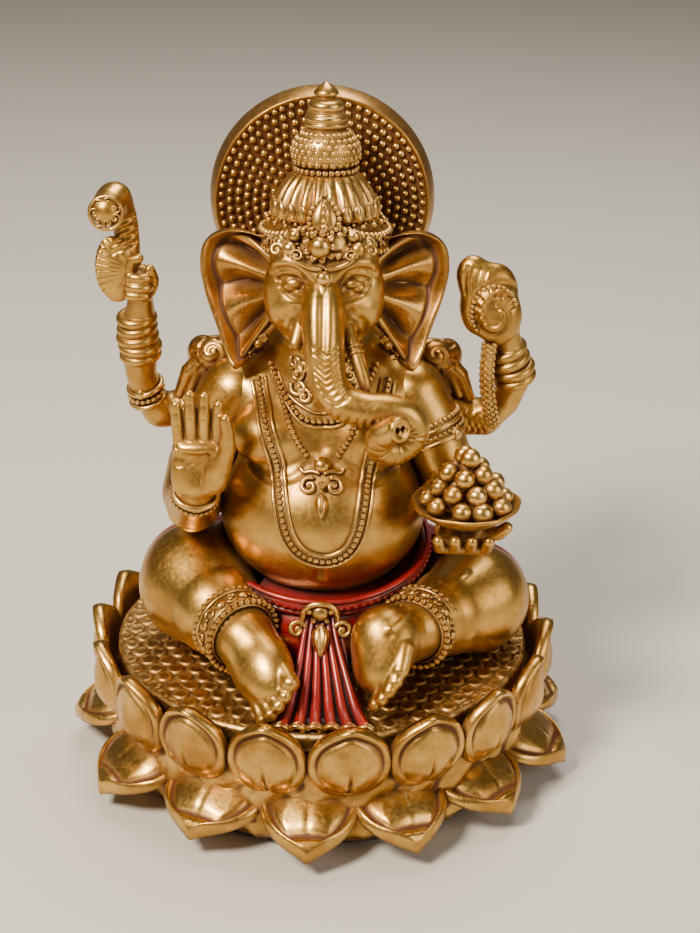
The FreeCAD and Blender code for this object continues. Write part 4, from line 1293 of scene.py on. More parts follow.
def make_left_rear_arm():
    """The raised arm that holds the lotus bud."""
    other = Clay((8, -5, 44), (32, 10, 74), 0.17)
    other.blend(rod([(10.5, 4.2, 55.4), (15.6, 4.9, 52.6), (20.2, 4.8, 51.0), (22.8, 4.5, 50.9)],
                    [3.9, 3.2, 2.9, 2.6]))
    other.blend(rod([(23.0, 4.3, 51.1), (25.7, 3.5, 53.8), (26.8, 2.5, 57.0), (26.3, 1.5, 60.6),
                     (25.4, 0.7, 64.2), (25.0, 0.4, 65.6)],
                    [2.5, 2.15, 2.1, 2.1, 1.9, 1.6]), 0.6)
    cuff(other, vec(26.9, 2.2, 57.9), vec(-0.34, -0.18, 1.0), 2.35, 4, 1.55, 0.74)
    fist(other, vec(25.0, 0.2, 66.6), vec(-0.25, -0.05, 1), vec(-0.25, -1, 0.1), 0.84)
    for k in range(9):
        x = 14.8 + 0.95 * k
        for lean in (-1, 1):
            line = other.front([(x - 0.7 * lean, 54.4 - 0.3 * k), (x, 52.8 - 0.3 * k),
                                (x + 0.7 * lean, 51.2 - 0.3 * k)], y=-8)[0]
            other.crease(curve(line, 8), 0.2, 0.22)
    make("left_rear_arm_cast", *other.skin(), GOLD, "gold_paint", ["left_rear_arm"])


def make_rear_arm_bands():
    """Rings at the elbow and where the rear arms leave the back."""
    rings = Trim()
    for k, cable in enumerate((False, True, False)):
        bangle(rings, vec(-25.2, 3.4, 53.6) + vec(-0.12, -0.3, 1.05) * k, (-0.25, -0.35, 1.0), 2.4, 0.38,
               cable=cable)
    out = unit(vec(-0.2, -1, 0.2))
    rings.bead(vec(-25.4, 3.1, 54.6) + out * 2.5, 0.8, out, 0.7, 4)
    for k in range(2):
        bangle(rings, (14.6 + 0.9 * k, 4.8, 53.4 - 0.4 * k), (1, 0, -0.42), 3.5, 0.34, cable=bool(k))
        bangle(rings, (-14.6 - 0.9 * k, 4.8, 53.6 - 0.4 * k), (1, 0, 0.42), 3.45, 0.34, cable=bool(k))
    rings.make("rear_arm_bands", GOLD_TRIM, "gold_paint")


def make_shoulder_buns():
    """A coiled bun on each shoulder, with three strands hanging from it."""
    for side, name, nodes in ((-1, "right_shoulder_bun", ["shoulder_ornaments"]),
                              (1, "left_shoulder_bun", [])):
        near, far = vec(side * 9, -3, 52), vec(side * 24, 9, 66)
        bun = Clay(np.minimum(near, far), np.maximum(near, far), 0.17)
        face = unit(vec(side * 0.25, -0.86, 0.42))
        bun.blend(egg((side * 15.2, 3.2, 60.4), (3.1, 2.6, 2.7)))
        bun.blend(egg((side * 17.3, 4.4, 60.2), (2.2, 2.2, 2.5)), 0.6)
        for k in range(3):
            foot = vec(side * (17.6 + 1.5 * k), 3.4, 55.4 - 0.5 * k)
            bun.blend(rod([(side * (15.6 + 0.7 * k), 3.6, 59.6), (side * (16.8 + 1.2 * k), 3.4, 57.6),
                           foot], [1.5, 1.25, 0.8]), 0.2)
        eye = vec(side * 15.2, 3.2, 60.4) + face * 2.0
        across = unit(np.cross(face, vec(0, 0, 1)))
        over = np.cross(across, face)
        spiral = [eye + (0.4 + 0.26 * t) * (math.cos(t) * across + math.sin(t) * over) - face * 0.05 * t
                  for t in np.linspace(0, 8.4, 46)]
        landed = bun.drop(np.array(spiral) + face * 4, -face, 12)[0]
        bun.crease(landed, 0.24, 0.5)
        for k in range(7):
            t = 2 * math.pi * k / 7
            ray = [eye + (2.2 + 0.5 * j) * (math.cos(t) * across + math.sin(t) * over) for j in range(3)]
            bun.crease(bun.drop(np.array(ray) + face * 4, -face, 14)[0], 0.24, 0.36)
        make(name, *bun.skin(), GOLD_EAR, "gold_paint", nodes)


# ---------------------------------------------------------------- head, trunk and ears
TRUNK_LINE = [(-0.2, -7.2, 76.9, 2.1), (-0.1, -11.7, 72.8, 2.8), (0.1, -14.3, 69.2, 2.75),
              (0.4, -15.9, 66.0, 2.6),
              (1.0, -17.0, 63.4, 2.55), (2.8, -17.9, 61.5, 2.45), (5.6, -18.3, 60.7, 2.35),
              (8.4, -18.3, 60.6, 2.25),
              (10.9, -18.0, 59.9, 2.1), (12.2, -17.8, 58.0, 2.0), (11.6, -17.9, 56.1, 1.9),
              (9.6, -18.7, 55.0, 1.9),
              (7.6, -19.8, 56.0, 1.85), (7.7, -21.0, 58.0, 1.8), (9.7, -21.8, 59.4, 1.75)]


def make_skull():
    """The head without its trunk: domed brows, cheeks and half-closed eyes. Returns the clay."""
    head = Clay((-10.2, -14.5, 61.5), (10.2, 7.5, 85), 0.15)
    head.blend(egg((0, -2.6, 74.0), (7.7, 8.2, 9.2)))
    head.blend(egg((0, -4.4, 67.6), (5.6, 5.6, 4.8)), 2.5)
    head.blend(rod([(0, -7.6, 76.8), (0, -10.6, 73.0), (0, -11.9, 70.2)], [3.4, 3.5, 3.0]), 3.2)
    for side in (-1, 1):
        head.blend(egg((side * 3.5, -7.8, 78.2), (3.7, 3.1, 3.4)), 2.2)
        head.blend(egg((side * 4.9, -6.2, 71.3), (3.1, 4.3, 3.9)), 1.8)
        head.blend(egg((side * 6.0, -6.8, 74.2), (1.9, 2.6, 2.6)), 1.2)
        head.carve(egg((side * 3.8, -12.6, 75.2), (2.5, 2.5, 1.6), turned(y=side * 20)), 1.4)
        head.blend(egg((side * 3.9, -9.6, 75.1), (1.95, 1.2, 1.0), turned(y=side * 22)), 0.25)

        def place(pairs, count=16):
            flat = [(side * x, z) for x, z in pairs]
            return head.front(curve(flat, count))[0]
        upper = place([(1.9, 74.2), (2.8, 75.5), (3.9, 76.2), (5.1, 76.2), (6.1, 75.6)])
        head.crease(upper, 0.24, 0.42)
        head.crease(upper + vec(0, 0, 0.45), 0.24, -0.32)
        head.crease(place([(2.0, 74.0), (2.9, 74.4), (3.9, 74.6), (5.0, 75.0), (5.9, 75.5)]), 0.20, 0.46)
        head.crease(place([(2.2, 73.5), (3.3, 73.3), (4.6, 73.7), (5.8, 74.8)]), 0.3, 0.34)
        head.crease(place([(1.7, 76.4), (2.9, 77.7), (4.5, 78.3), (6.1, 77.9), (7.0, 76.6)]), 0.55, -0.42)
        head.crease(place([(1.9, 75.4), (2.9, 76.9), (4.4, 77.5), (6.0, 77.1)]), 0.30, 0.36)
        head.crease(place([(3.2, 72.4), (3.9, 71.0), (4.2, 69.4), (4.1, 67.8)]), 0.55, 0.45)
        head.crease(place([(2.6, 67.2), (4.0, 66.4), (5.6, 67.0)]), 0.4, 0.42)
        head.crease(place([(5.0, 70.4), (5.6, 69.0), (5.4, 67.8)]), 0.5, 0.18)
        head.blend(egg((side * 3.1, -10.2, 69.4), (1.5, 1.6, 1.9)), 0.9)
    make("head_cast", *head.skin(), GOLD, "gold_paint", ["head"])
    return head


def make_brow_jewels(head):
    """The chain across the forehead, with its volutes and the drop above the trunk."""
    jewels = Trim()
    for side in (-1, 1):
        rail, n = lay_line(head, [(side * 4.4, 80.0), (side * 3.7, 78.7), (side * 2.2, 77.9),
                                  (side * 0.2, 77.5)], 24, 0.3)
        jewels.tube(rail, 0.36, 8)
        jewels.bead(rail[0] + vec(0, -0.3, 0), 0.95, n[0], 0.85, 5)
        jewels.bead(rail[5] + n[5] * 0.4, 0.5)
        jewels.scroll(rail[0] + vec(side * 1.7, -0.3, -0.2), n[0], vec(-side, 0, 0.3), 0.9, -side, 1.3,
                      thick=0.26)
        jewels.scroll(rail[9] + vec(0, -0.3, 0.75), n[9], vec(side, 0, 0.6), 0.8, side, 1.3, thick=0.25)
    jewels.bead(vec(0, -12.9, 76.8), 0.95, vec(0, -1, 0.1), 0.8, 6)
    jewels.make("brow_jewels", GOLD_TRIM, "gold_paint")


def make_trunk():
    """The trunk: two soft ridges and chevrons in front, wrinkles on the bend, a curled end with nostrils."""
    trunk = Clay((-5, -24.5, 51.5), (16, -6.5, 78), 0.14)
    line = curve(TRUNK_LINE, 90)
    trunk.blend(rod(line[:, :3], line[:, 3]))
    ahead = unit(np.gradient(line[:, :3], axis=0))
    for x in (-1.25, 1.25):
        ridge = trunk.front(curve([(x * 0.7, 75.6), (x * 0.9, 74.0), (x, 71.8), (x * 0.95, 69.4),
                                   (x * 0.8, 67.6)], 28))[0]
        trunk.crease(ridge, 0.95, -0.32)
    trunk.crease(trunk.front(curve([(0, 75.4), (0, 72), (0, 68.4)], 20))[0], 0.5, 0.28)
    for k in range(9):
        z = 68.1 - 0.74 * k
        x = np.interp(z, line[20:50, 2][::-1], line[20:50, 0][::-1])
        chevron = trunk.front(curve([(x - 1.5, z + 0.7), (x - 0.55, z + 0.05), (x, z - 0.25),
                                     (x + 0.55, z + 0.05),
                                     (x + 1.5, z + 0.7)], 14))[0]
        trunk.crease(chevron, 0.19, 0.36)
    for k in range(30, 62):
        c, r, t = line[k, :3], line[k, 3], ahead[k]
        down = unit(vec(0, -0.35, -1) - t * (vec(0, -0.35, -1) @ t))
        out = np.cross(t, down)
        out = out * np.sign(-out[1])
        arc = [c + r * 0.97 * (down * math.cos(a) + out * math.sin(a)) for a in np.linspace(-0.6, 0.95, 9)]
        trunk.crease(arc, 0.15, 0.2 * (1 if k % 2 else -0.7))
    for k in range(62, 84, 3):
        c, r, t = line[k, :3], line[k, 3], ahead[k]
        side = unit(np.cross(t, vec(0, 1, 0.2)))
        front = unit(np.cross(side, t))
        front = front * np.sign(-front[1])
        arc = [c + r * 0.98 * (front * math.cos(a) + side * math.sin(a)) for a in np.linspace(-1.4, 1.4, 11)]
        trunk.crease(arc, 0.14, 0.10)
    end, way = line[-1, :3], ahead[-1]
    face = unit(way + vec(0.1, -0.75, -0.25))
    trunk.carve([(end - 5, end + 5, lambda x, y, z: -((x - end[0]) * face[0] + (y - end[1]) * face[1]
                 + (z - end[2]) * face[2] - 0.9))], 0.25)
    trunk.blend(hoop(end + face * 0.75, face, 1.35, 0.36), 0.3)
    across = unit(np.cross(face, vec(0, 0, 1)))
    for side in (-1, 1):
        trunk.carve(rod([end + face * 2 + across * 0.48 * side, end - face * 0.9 + across * 0.4 * side],
                        [0.42, 0.36]), 0.15)
    make("trunk_cast", *trunk.skin(), GOLD, "gold_paint", ["trunk"])


def make_tusks():
    """The whole left tusk with two rings, and the broken right one."""
    tusks = Trim()
    whole = curve([(2.9, -11.0, 69.8), (4.1, -13.0, 67.0), (5.1, -14.6, 64.6), (5.9, -15.9, 62.2)], 24)
    tusks.tube(whole, np.interp(np.linspace(0, 1, 24), [0, 0.85, 1], [1.15, 0.85, 0.45]), 16)
    for k in (7, 9):
        bangle(tusks, whole[k], whole[k + 1] - whole[k], 1.08, 0.2)
    stub = curve([(-2.9, -11.0, 69.8), (-3.4, -12.2, 68.2), (-3.8, -13.0, 67.0)], 12)
    tusks.tube(stub, np.interp(np.linspace(0, 1, 12), [0, 0.8, 1], [1.15, 1.0, 0.7]), 16)
    tusks.make("tusks_cast", GOLD, "gold_paint", ["tusks"], relief=True)


def make_ears():
    """Fans with a rolled lip and deep grooves that spread from where they join the head."""
    outer = [(7.8, -4.6, 79.2), (10.6, -3.4, 80.3), (13.7, -2.2, 79.9), (15.8, -1.4, 77.9),
             (16.3, -1.5, 74.8),
             (15.6, -2.2, 71.2), (14.4, -3.2, 67.8), (13.2, -4.4, 64.6), (12.0, -5.8, 61.9),
             (10.6, -6.3, 62.8),
             (9.0, -6.2, 65.2)]
    inner = [(6.6, -5.2, 78.6), (6.9, -5.8, 76.6), (7.1, -6.2, 74.6), (7.1, -6.2, 72.4), (6.8, -6.2, 70.4),
             (6.4, -6.0, 68.4)]
    rows, cols = 64, 190
    out, root = curve(outer, cols), curve(inner, cols)
    u = np.linspace(0, 1, rows)[:, None]
    v = np.linspace(0, 1, cols)[None, :]
    base = root[None] + (out - root)[None] * u[..., None]
    du, dv = np.gradient(base, axis=0), np.gradient(base, axis=1)
    face = unit(np.cross(dv, du))
    face = face * np.sign(-face[..., 1:2])
    fan = 0.5 + 0.5 * np.cos(2 * np.pi * (4.6 * v ** 0.92 + 0.10 * np.sin(3 * u) + 0.12))
    groove = (fan ** 0.6 - 0.62) * 2.5 * np.sin(np.pi * np.clip(u * 1.02, 0, 1)) ** 0.8
    dish = -1.5 * np.sin(np.pi * np.clip(u, 0, 1)) * (1 - 0.5 * v)
    roll = 1.15 * np.exp(-((u - 0.965) / 0.06) ** 2) * (1 - 0.45 * v) - 0.35 * np.exp(
                                                                                  -((u - 0.86) / 0.04) ** 2)
    front = base + face * (groove + dish + roll + 0.5)[..., None]
    back = base + face * (dish * 0.8 + 0.3 * groove - 0.75 + 0.3 * (u > 0.97))[..., None]
    rim = np.stack([front[-1] * (1 - f) + back[-1] * f + unit(out - root) * 0.4 * math.sin(math.pi * f)
                    for f in np.linspace(0.1, 0.9, 7)])
    skin = np.concatenate([front, rim, back[::-1], front[:1]])
    for side, name, node in ((-1, "right_ear_cast", "right_ear"), (1, "left_ear_cast", "left_ear")):
        t = Trim()
        t.grid(skin if side > 0 else mirror(skin)[:, ::-1])
        for edge in (0, -1):
            rows_closed = (skin if side > 0 else mirror(skin))[:, edge]
            line = (rows_closed[:rows] + rows_closed[rows + len(rim):2 * rows + len(rim)][::-1]) / 2
            t.tube(line, 0.62, 10)
        t.make(name, GOLD_EAR, "gold_paint", [node], relief=True)


# ---------------------------------------------------------------- crown and halo
CROWN_FOOT = vec(0, -1.4, 78.2)
CROWN_LEAN = 3.0
LEAN = turned(x=-CROWN_LEAN)
CROWN_TURN = np.linspace(0, 2 * np.pi, 361)[:-1]


def crown_place(angle, radius, height):
    """A point on the leaning crown. Angle 0 is the front, in radians towards the figure's left."""
    local = np.stack(np.broadcast_arrays(radius * np.sin(angle), -radius * np.cos(angle) * 0.98, height),
                     axis=-1)
    return CROWN_FOOT + local @ LEAN.T


def make_crown_band():
    """The tiara: a band, higher at the front, with rails, studs, volutes and a flower over the brow."""
    angle = np.linspace(-np.pi, np.pi, 181)[:-1]
    low = 0.1 + 0.5 * np.exp(-(angle / 0.40) ** 2)
    top = 2.3 + 2.2 * np.exp(-(angle / 0.62) ** 2)
    forehead = 1.7 * np.exp(-(angle / 0.55) ** 2)

    def ring(share, radius):
        return crown_place(angle, radius - 0.65 + forehead * (1 - 0.5 * share), low + (top - low) * share)

    band = Trim()
    band.grid(np.stack([ring(s, r) for s,
                        r in ((0, 6.5), (0, 8.9), (0.06, 9.25), (0.3, 9.15), (0.5, 9.1), (0.7, 9.1),
                                                (0.94, 9.2), (1, 8.8), (1, 6.5))]), wrap=True)
    rail_low, rail_top = ring(0.06, 9.4), ring(0.9, 9.35)
    band.tube(rail_low, 0.36, 8, closed=True)
    studs = spaced(ring(0.02, 9.55) + vec(0, 0, -0.1), 0.95, closed=True)
    band.beads(studs, 0.36)
    studs = spaced(rail_top, 0.92, closed=True)
    band.beads(studs, 0.47)
    band.tube(ring(0.76, 9.25), 0.24, 8, closed=True)
    for k in range(26):
        a = 2 * np.pi * (k + 0.5) / 26
        a = (a + np.pi) % (2 * np.pi) - np.pi
        if abs(a) < 0.62:
            continue
        at = crown_place(a, 8.6, 1.25)
        out = unit(crown_place(a, 10.0, 1.25) - at)
        band.scroll(at, out, vec(0, 0, 1) if k % 2 else vec(0, 0, -1), 0.85, 1 if k % 2 else -1, thick=0.27)
        band.bead(crown_place(a + np.pi / 26, 8.65, 1.4 + 0.4 * (k % 2)), 0.38)
    centre = crown_place(0.0, 10.7, 1.9) + vec(-0.5, 0, 0)
    out = unit(vec(0, -1, 0.12))
    band.bead(centre, 1.42, out, 0.85, 7)
    for k in range(9):
        a = 2 * np.pi * k / 9
        spoke = vec(math.cos(a), 0, math.sin(a))
        band.leaf(centre + spoke * 1.25 - out * 0.15, out, spoke, 1.15, 0.5, rise=0.4, crease=0.4)
    for side in (-1, 1):
        for a, z, size, boss in ((0.40, 3.0, 1.2, 0.80), (0.66, 1.7, 1.2, 0.60), (0.34, 0.9, 0.9, 0.5)):
            at = crown_place(side * a, 10.4 - a * 1.6, z)
            out = unit(at - crown_place(0, 0, z))
            band.scroll(at, out, vec(-side * 0.6, 0, -0.8), size, side, 1.3, thick=0.25)
            band.bead(at + out * 0.15, boss, out, 0.9, 5)
        for a, z in ((0.20, 0.6), (0.20, 3.4), (0.50, 0.9), (0.54, 2.9)):
            band.bead(crown_place(side * a, 10.6 - a * 1.7, z), 0.44, fine=4)
    band.make("crown_band_gilt", GOLD_TRIM, "gold_paint", ["crown_band"])


def make_crown_leaf():
    """The pointed plaque that stands up from the tiara's front."""
    leaf = Trim()
    tip_at, foot_at = crown_place(0, 8.3, 8.0), crown_place(0, 10.1, 3.2)
    n = unit(np.cross(vec(1, 0, 0), tip_at - foot_at) * -1)
    n = n * np.sign(-n[1])
    up = unit(tip_at - foot_at)
    length = np.linalg.norm(tip_at - foot_at)
    leaf.leaf(foot_at, n, up, length, 1.9, rise=0.9, crease=0.25)
    outline = [foot_at + up * length * s + vec(1, 0, 0) * w * 2.0 * math.sin(math.pi * s ** 0.75) ** 0.8
               + n * 0.35
               for w in (-1, 1) for s in np.linspace(0.05, 1.0, 12)[::w]]
    studs = spaced(np.array(outline), 0.72)
    leaf.beads(studs, 0.36)
    for s in (0.35, 0.55, 0.75):
        leaf.leaf(foot_at + up * length * (s - 0.16) + n * 0.75, n, up, 1.5, 0.42, rise=0.4, crease=0.1)
    leaf.bead(foot_at + up * 0.9 + n * 0.8, 0.6)
    leaf.make("crown_leaf_gilt", GOLD_TRIM, "gold_paint")


def make_crown_dome():
    """The fluted dome with a fringe of leaves round its foot."""
    dome = Trim()
    profile = curve([(6.9, 1.5), (6.6, 2.8), (6.6, 3.7), (7.2, 4.2), (7.1, 5.0), (6.5, 6.6), (5.6, 8.2),
                     (4.6, 9.4),
                     (3.4, 10.1)], 70)
    a = CROWN_TURN
    flute = np.abs(np.sin(a * 11))
    rows = []
    for r, z in profile:
        in_cap = np.clip((z - 3.9) / 0.4, 0, 1)
        fade = np.clip((10.6 - z) / 3.0, 0.25, 1)
        rows.append(crown_place(a, r + in_cap * fade * (0.62 * flute - 0.34), z + 0 * a))
    rows.append(crown_place(a, 0.01, 10.1 + 0 * a))
    dome.grid(np.stack(rows), wrap=True)
    for k in range(22):
        at = 2 * np.pi * (k + 0.5) / 22
        root, point = crown_place(at, 7.0, 6.4), crown_place(at, 7.75, 3.6)
        out = unit(crown_place(at, 9, 5.5) - crown_place(at, 8, 5.5))
        dome.leaf(root, out, point - root, 2.9, 0.88, rise=0.5, crease=0.5)
        dome.bead(crown_place(at, 7.8, 3.5), 0.36)
        dome.bead(crown_place(at + np.pi / 22, 7.0, 3.7), 0.33)
    dome.make("crown_dome_gilt", GOLD_TRIM, "gold_paint", ["crown_spire"], relief=True)


def make_crown_finial():
    """The beaded bulb, the rings and the pointed knob on top."""
    top = Trim()
    profile = [(3.3, 10.1), (3.7, 10.5), (4.35, 11.5), (4.5, 12.6), (4.3, 13.6), (3.7, 14.6), (2.9, 15.3),
               (2.55, 15.55),
               (2.85, 15.8), (2.95, 16.2), (2.7, 16.5), (2.85, 16.75), (2.8, 17.1), (2.55, 17.35),
               (2.5, 17.55), (2.1, 17.8),
               (2.35, 18.15), (2.35, 18.7), (2.0, 19.1), (1.35, 19.45), (1.25, 19.65), (1.65, 19.95),
               (1.62, 20.3), (1.2, 20.8),
               (0.7, 21.2), (0.35, 21.45), (0.0, 21.6)]
    line = curve(profile, 110)
    rows = [crown_place(CROWN_TURN, max(r, 0.01), z) for r, z in line]
    top.grid(np.stack(rows), wrap=True)
    for k in range(30):
        at = 2 * np.pi * k / 30
        top.bead(crown_place(at, 4.0, 10.15), 0.44)
    for level, (r, z) in enumerate(((4.25, 11.2), (4.5, 12.0), (4.55, 12.8), (4.35, 13.5), (3.95, 14.2),
                                    (3.3, 14.9))):
        for k in range(26):
            at = 2 * np.pi * (k + 0.5 * (level % 2)) / 26
            top.bead(crown_place(at, r - 0.1, z), 0.40 + RNG.uniform(-0.05, 0.05))
    top.make("crown_finial_gilt", GOLD_TRIM, "gold_paint", relief=True)


HALO_AT = vec(-0.6, 9.2, 81.5)
HALO_HALF_T = 2.1


def make_halo():
    """The dished plate behind the head and the folded cloth at the neck that carries it."""
    disc = Trim()
    half = HALO_HALF_T
    profile = [(0, -half + 0.9), (6, -half + 0.85), (13.9, -half + 0.8), (14.3, -half + 0.35),
               (14.6, -half + 0.1), (14.9, -half + 0.2),
               (15.3, -half + 1.1), (15.6, -half + 2.2), (15.7, 1.1), (15.4, half - 0.3), (14.8, half),
               (13.9, half - 0.25),
               (13.4, half - 0.5), (12.6, half - 0.3), (9.0, half - 0.35), (8.4, half - 0.65),
               (7.8, half - 0.35), (0, half - 0.3)]
    line = np.vstack([profile[:2], curve(profile[2:13], 60), curve(profile[13:17], 30), profile[17:]])
    a = np.linspace(0, 2 * np.pi, 217)[:-1]
    rows = []
    for r, d in line:
        petal = 0.25 * np.cos(a * 12) * math.exp(-((r - 10.8) / 1.3) ** 2) * (d > 0)
        rows.append(np.stack([HALO_AT[0] + r * np.cos(a), HALO_AT[1] + d + petal,
                              HALO_AT[2] + r * np.sin(a)], axis=-1))
    disc.grid(np.stack(rows)[::-1], wrap=True)
    stay = Clay((-13, 2, 53), (13, 11.6, 73), 0.3)
    stay.blend(slab((0, 6.9, 62), (8.6, 2.7, 8.2), bevel=2.6))
    for side in (-1, 1):
        stay.blend(egg((side * 8.4, 6.6, 61.8), (3.6, 3.2, 8.4)), 1.5)
    for k in range(8):
        x = 2.4 * (k - 3.5)
        fold = stay.drop([(x * (1.2 - 0.05 * n), 20, 69 - 3.4 * n) for n in range(5)], vec(0, -1, 0), 30)[0]
        stay.crease(curve(fold, 16), 0.55, 0.55)
    disc.add(*stay.skin())
    disc.make("halo_disc_cast", GOLD_HALO, "gold_paint", ["halo"], relief=True)


def make_halo_studs():
    """Rings of small raised studs on the halo's face, a little uneven as if cast."""
    studs = Trim()
    for row, r in enumerate((14.0, 12.8, 11.6, 10.4, 9.2, 8.0, 6.8, 5.6)):
        count = int(2 * np.pi * r / 1.30)
        for k in range(count):
            t = 2 * np.pi * (k + 0.5 * (row % 2)) / count + RNG.normal(0, 0.006)
            at = HALO_AT + vec(r * math.cos(t), 0.72 - HALO_HALF_T, r * math.sin(t))
            size = 0.50 + RNG.uniform(-0.06, 0.05)
            studs.bead(at, size, vec(0, 1, 0), 1.25, 4)
    studs.make("halo_studs_gilt", GOLD_TRIM, "gold_paint")


# ---------------------------------------------------------------- bowl, axe and bud
BOWL_AT = vec(19.5, -15.6, 46.2)


def make_bowl():
    """A shallow bowl on a foot, its rim slightly wavy."""
    bowl = Trim()
    profile = [(0, -0.9), (3, -0.9), (5.4, -0.5), (6.6, 0.1), (7.1, 0.45), (7.35, 0.4), (7.3, 0.05),
               (6.4, -0.75), (5.0, -1.7),
               (3.4, -2.6), (2.6, -3.2), (2.5, -3.9), (2.9, -4.4), (2.6, -4.9), (0, -5.0)]
    line = np.vstack([profile[:1], curve(profile[1:-1], 60), profile[-1:]])
    line[:, 1] += BOWL_AT[2]
    bowl.turned(line[::-1], BOWL_AT[:2], 120, wave=lambda a,
                z: (0.10 * np.sin(a * 5 + 1) + 0.07 * np.sin(a * 11)) * (z > 45.6))
    bowl.make("sweet_bowl_cast", GOLD, "gold_paint", ["sweet_bowl"], relief=True)


def make_sweets():
    """A heap of round sweets, laid in rings, each with a small nipple."""
    sweets = Trim()
    layers = ((5.25, 0.9, 10, 1.36, 0.1), (2.5, 0.9, 5, 1.36, 0.4), (4.0, 2.85, 8, 1.36, 0.3),
              (1.2, 2.9, 2, 1.36, 0.5),
              (2.5, 4.8, 5, 1.36, 0.75), (0.3, 5.0, 1, 1.36, 0), (0.95, 6.9, 2, 1.34, 2.0))
    for ring, height, count, size, start in layers:
        for k in range(count):
            t = 2 * np.pi * k / count + start + RNG.normal(0, 0.05)
            r = ring + RNG.normal(0, 0.08)
            at = BOWL_AT + vec(r * math.cos(t), r * math.sin(t), height + RNG.normal(0, 0.10))
            n = unit(vec(math.cos(t), math.sin(t), 1.2))
            sweets.bead(at, size + RNG.normal(0, 0.04), n, 0.94, 7)
            sweets.bead(at + n * size * 0.80, 0.36, n, 0.6, 3)
    sweets.make("sweets_heap", GOLD_TRIM, "gold_paint", ["sweets"])


def make_axe(detail):
    """The axe: a drum-shaped butt, a grooved neck and a fan-shaped blade."""
    axe = Clay((-33, -5, 67.5), (-24, 4, 87), 0.14)
    axe.blend(rod(curve([(-28.3, 0.2, 83.6), (-27.5, 0.7, 81.0), (-27.0, 0.8, 78.0), (-26.7, 0.5, 75.4),
                         (-26.2, 0.2, 71.0)], 16),
                  np.linspace(2.1, 1.3, 16)))
    axe.blend(rod([(-28.7, 0.6, 83.0), (-29.2, -2.3, 82.6)], [2.5, 2.3]), 0.5)
    fan = egg((-28.6, -0.9, 73.9), (2.7, 1.05, 4.7), turned(y=-4))
    axe.blend(fan, 0.5)
    for k, s in enumerate(np.linspace(-1.15, 1.15, 11)):
        edge = vec(-28.6 - 2.75 * math.cos(s), -1.7, 73.9 + 4.5 * math.sin(s))
        root = vec(-27.4, -1.9, 73.9 + 1.6 * math.sin(s))
        line = axe.front(curve([(root[0], root[2]),
                 ((root[0] + edge[0]) / 2, (root[2] + edge[2]) / 2 + 0.15), (edge[0] + 0.15, edge[2])], 10),
                         y=-12)[0]
        axe.crease(line, 0.20, 0.24)
    rim = axe.front(curve([(-28.0, 78.2), (-30.2, 76.9), (-31.0, 74.4), (-30.7, 71.6), (-29.2, 69.7)], 24),
                    y=-12)[0]
    axe.crease(rim, 0.26, -0.26)
    for z in (80.6, 79.4, 78.2, 77.0):
        axe.crease(axe.front(curve([(-28.8, z - 0.7), (-27.2, z + 0.1), (-25.6, z + 0.7)], 10), y=-12)[0],
                   0.28, 0.5)
    make("ritual_axe_cast", *axe.skin(), GOLD, "gold_paint", ["ritual_axe"])

    centre, n = vec(-29.2, -4.15, 82.6), unit(vec(-0.05, -1, 0.15))
    detail.bead(centre, 0.55, n, 0.8, 4)
    a = unit(np.cross(n, vec(0, 0, 1)))
    b = np.cross(n, a)
    for k in range(7):
        t = 2 * np.pi * k / 7
        spoke = math.cos(t) * a + math.sin(t) * b
        detail.scroll(centre + spoke * 1.45 - n * 0.15, n, spoke, 0.68, 1
                      if k % 2 else -1, 1.3, thick=0.27, lift=0.1)
    bangle(detail, centre - n * 0.35, n, 2.2, 0.26)


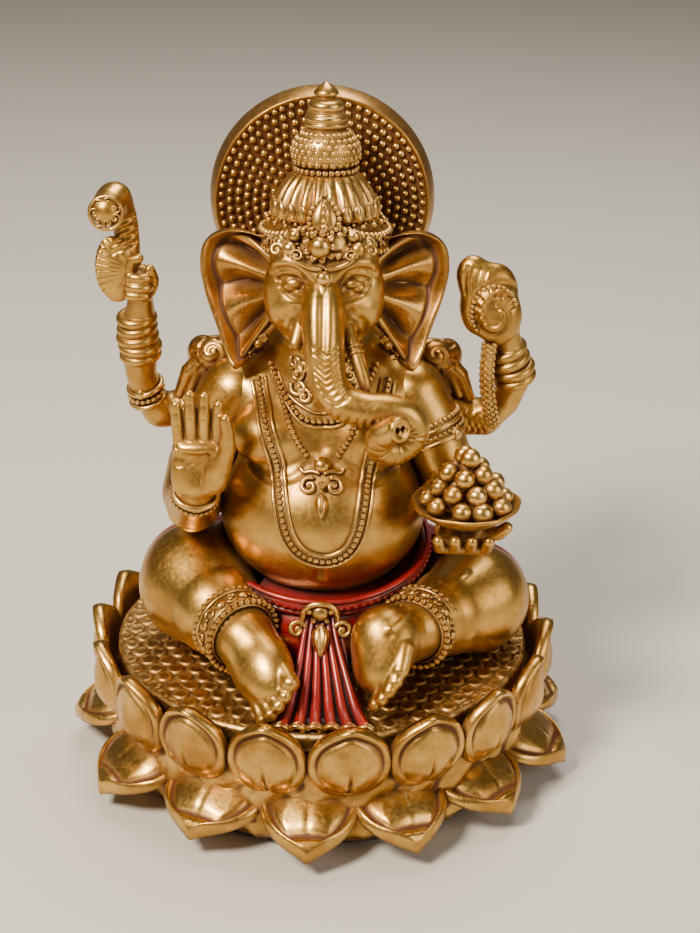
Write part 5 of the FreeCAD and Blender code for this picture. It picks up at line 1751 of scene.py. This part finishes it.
def make_lotus_bud(detail):
    """The bud with a spiral medallion, and the twisted cord that hangs from it."""
    bud = Clay((16.5, -5, 62.5), (29, 5, 78), 0.15)
    m = turned(y=14, z=12)
    bud.blend(egg((22.6, 0.2, 69.9), (4.0, 2.5, 5.3), m))
    bud.blend(egg((20.4, 0.3, 73.2), (2.4, 1.7, 3.0), turned(y=-6)), 1.2)
    bud.blend(egg((24.2, -0.6, 67.4), (3.0, 2.3, 3.8), m), 1.0)
    for k in range(4):
        x = 19.4 + 0.85 * k
        line = bud.front(curve([(x, 74.9 - 0.2 * k), (x - 0.35, 73.0), (x - 0.2, 71.2)], 10), y=-12)[0]
        bud.crease(line, 0.24, 0.28)
    swirl = [(23.3 + (3.5 - 0.42 * s) * math.cos(2.2 + s), 68.6 + (4.1 - 0.5 * s) * math.sin(2.2 + s))
             for s in np.linspace(-1.9, 5.2, 46)]
    line = bud.front(swirl, y=-12)[0]
    bud.crease(line, 0.32, 0.8)
    inner = [(23.5 + (2.3 - 0.3 * s) * math.cos(2.4 + s), 68.6 + (2.9 - 0.4 * s) * math.sin(2.4 + s))
             for s in np.linspace(-1.4, 4.4, 36)]
    bud.crease(bud.front(inner, y=-12)[0], 0.36, -0.62)
    for k in range(9):
        t = 0.35 + 0.42 * k
        ray = [(23.4 + r * 0.86 * math.cos(t), 68.8 + r * math.sin(t)) for r in (2.3, 2.9, 3.5)]
        bud.crease(bud.front(ray, y=-12)[0], 0.24, 0.6)
    make("lotus_bud_cast", *bud.skin(), GOLD, "gold_paint", ["lotus_bud"])
    arc = [(23.2 + 3.05 * math.cos(t), 68.7 + 3.75 * math.sin(t)) for t in np.linspace(0.3, 3.9, 60)]
    hit, normal = bud.front(arc, y=-12)
    studs = spaced(hit + normal * 0.05, 0.74)
    detail.beads(studs, 0.36)
    rope = curve([(22.8, -1.9, 64.2), (22.6, -2.0, 61.0), (22.8, -1.4, 57.4), (23.4, -0.4, 53.8),
                  (24.0, 0.4, 51.2)], 60)
    detail.tube(rope, np.linspace(0.95, 0.75, 60), 12)
    for k in range(0, 60, 2):
        for t in range(5):
            angle = 2 * np.pi * (t + 0.5 * (k % 4 == 0)) / 5
            detail.bead(rope[k] + 0.78 * vec(math.cos(angle), math.sin(angle), 0), 0.36)

# ---------------------------------------------------------------- everything
make_stage()
make_felt()
make_base_core()
make_petals()
make_seat()
make_right_leg()
make_left_leg()
make_dhoti()
make_anklets()
make_sash()
torso_clay = make_torso()
make_belt()
make_long_necklace(torso_clay)
make_pendant_necklace(torso_clay)
make_nape_string(torso_clay)
make_right_front_arm()
make_left_front_arm()
make_front_arm_bands()
make_right_rear_arm()
make_left_rear_arm()
make_rear_arm_bands()
make_shoulder_buns()
make_brow_jewels(make_skull())
make_trunk()
make_tusks()
make_ears()
make_crown_band()
make_crown_leaf()
make_crown_dome()
make_crown_finial()
make_halo()
make_halo_studs()
make_bowl()
make_sweets()
held_details = Trim()
make_axe(held_details)
make_lotus_bud(held_details)
held_details.make("attribute_details", GOLD_TRIM, "gold_paint")
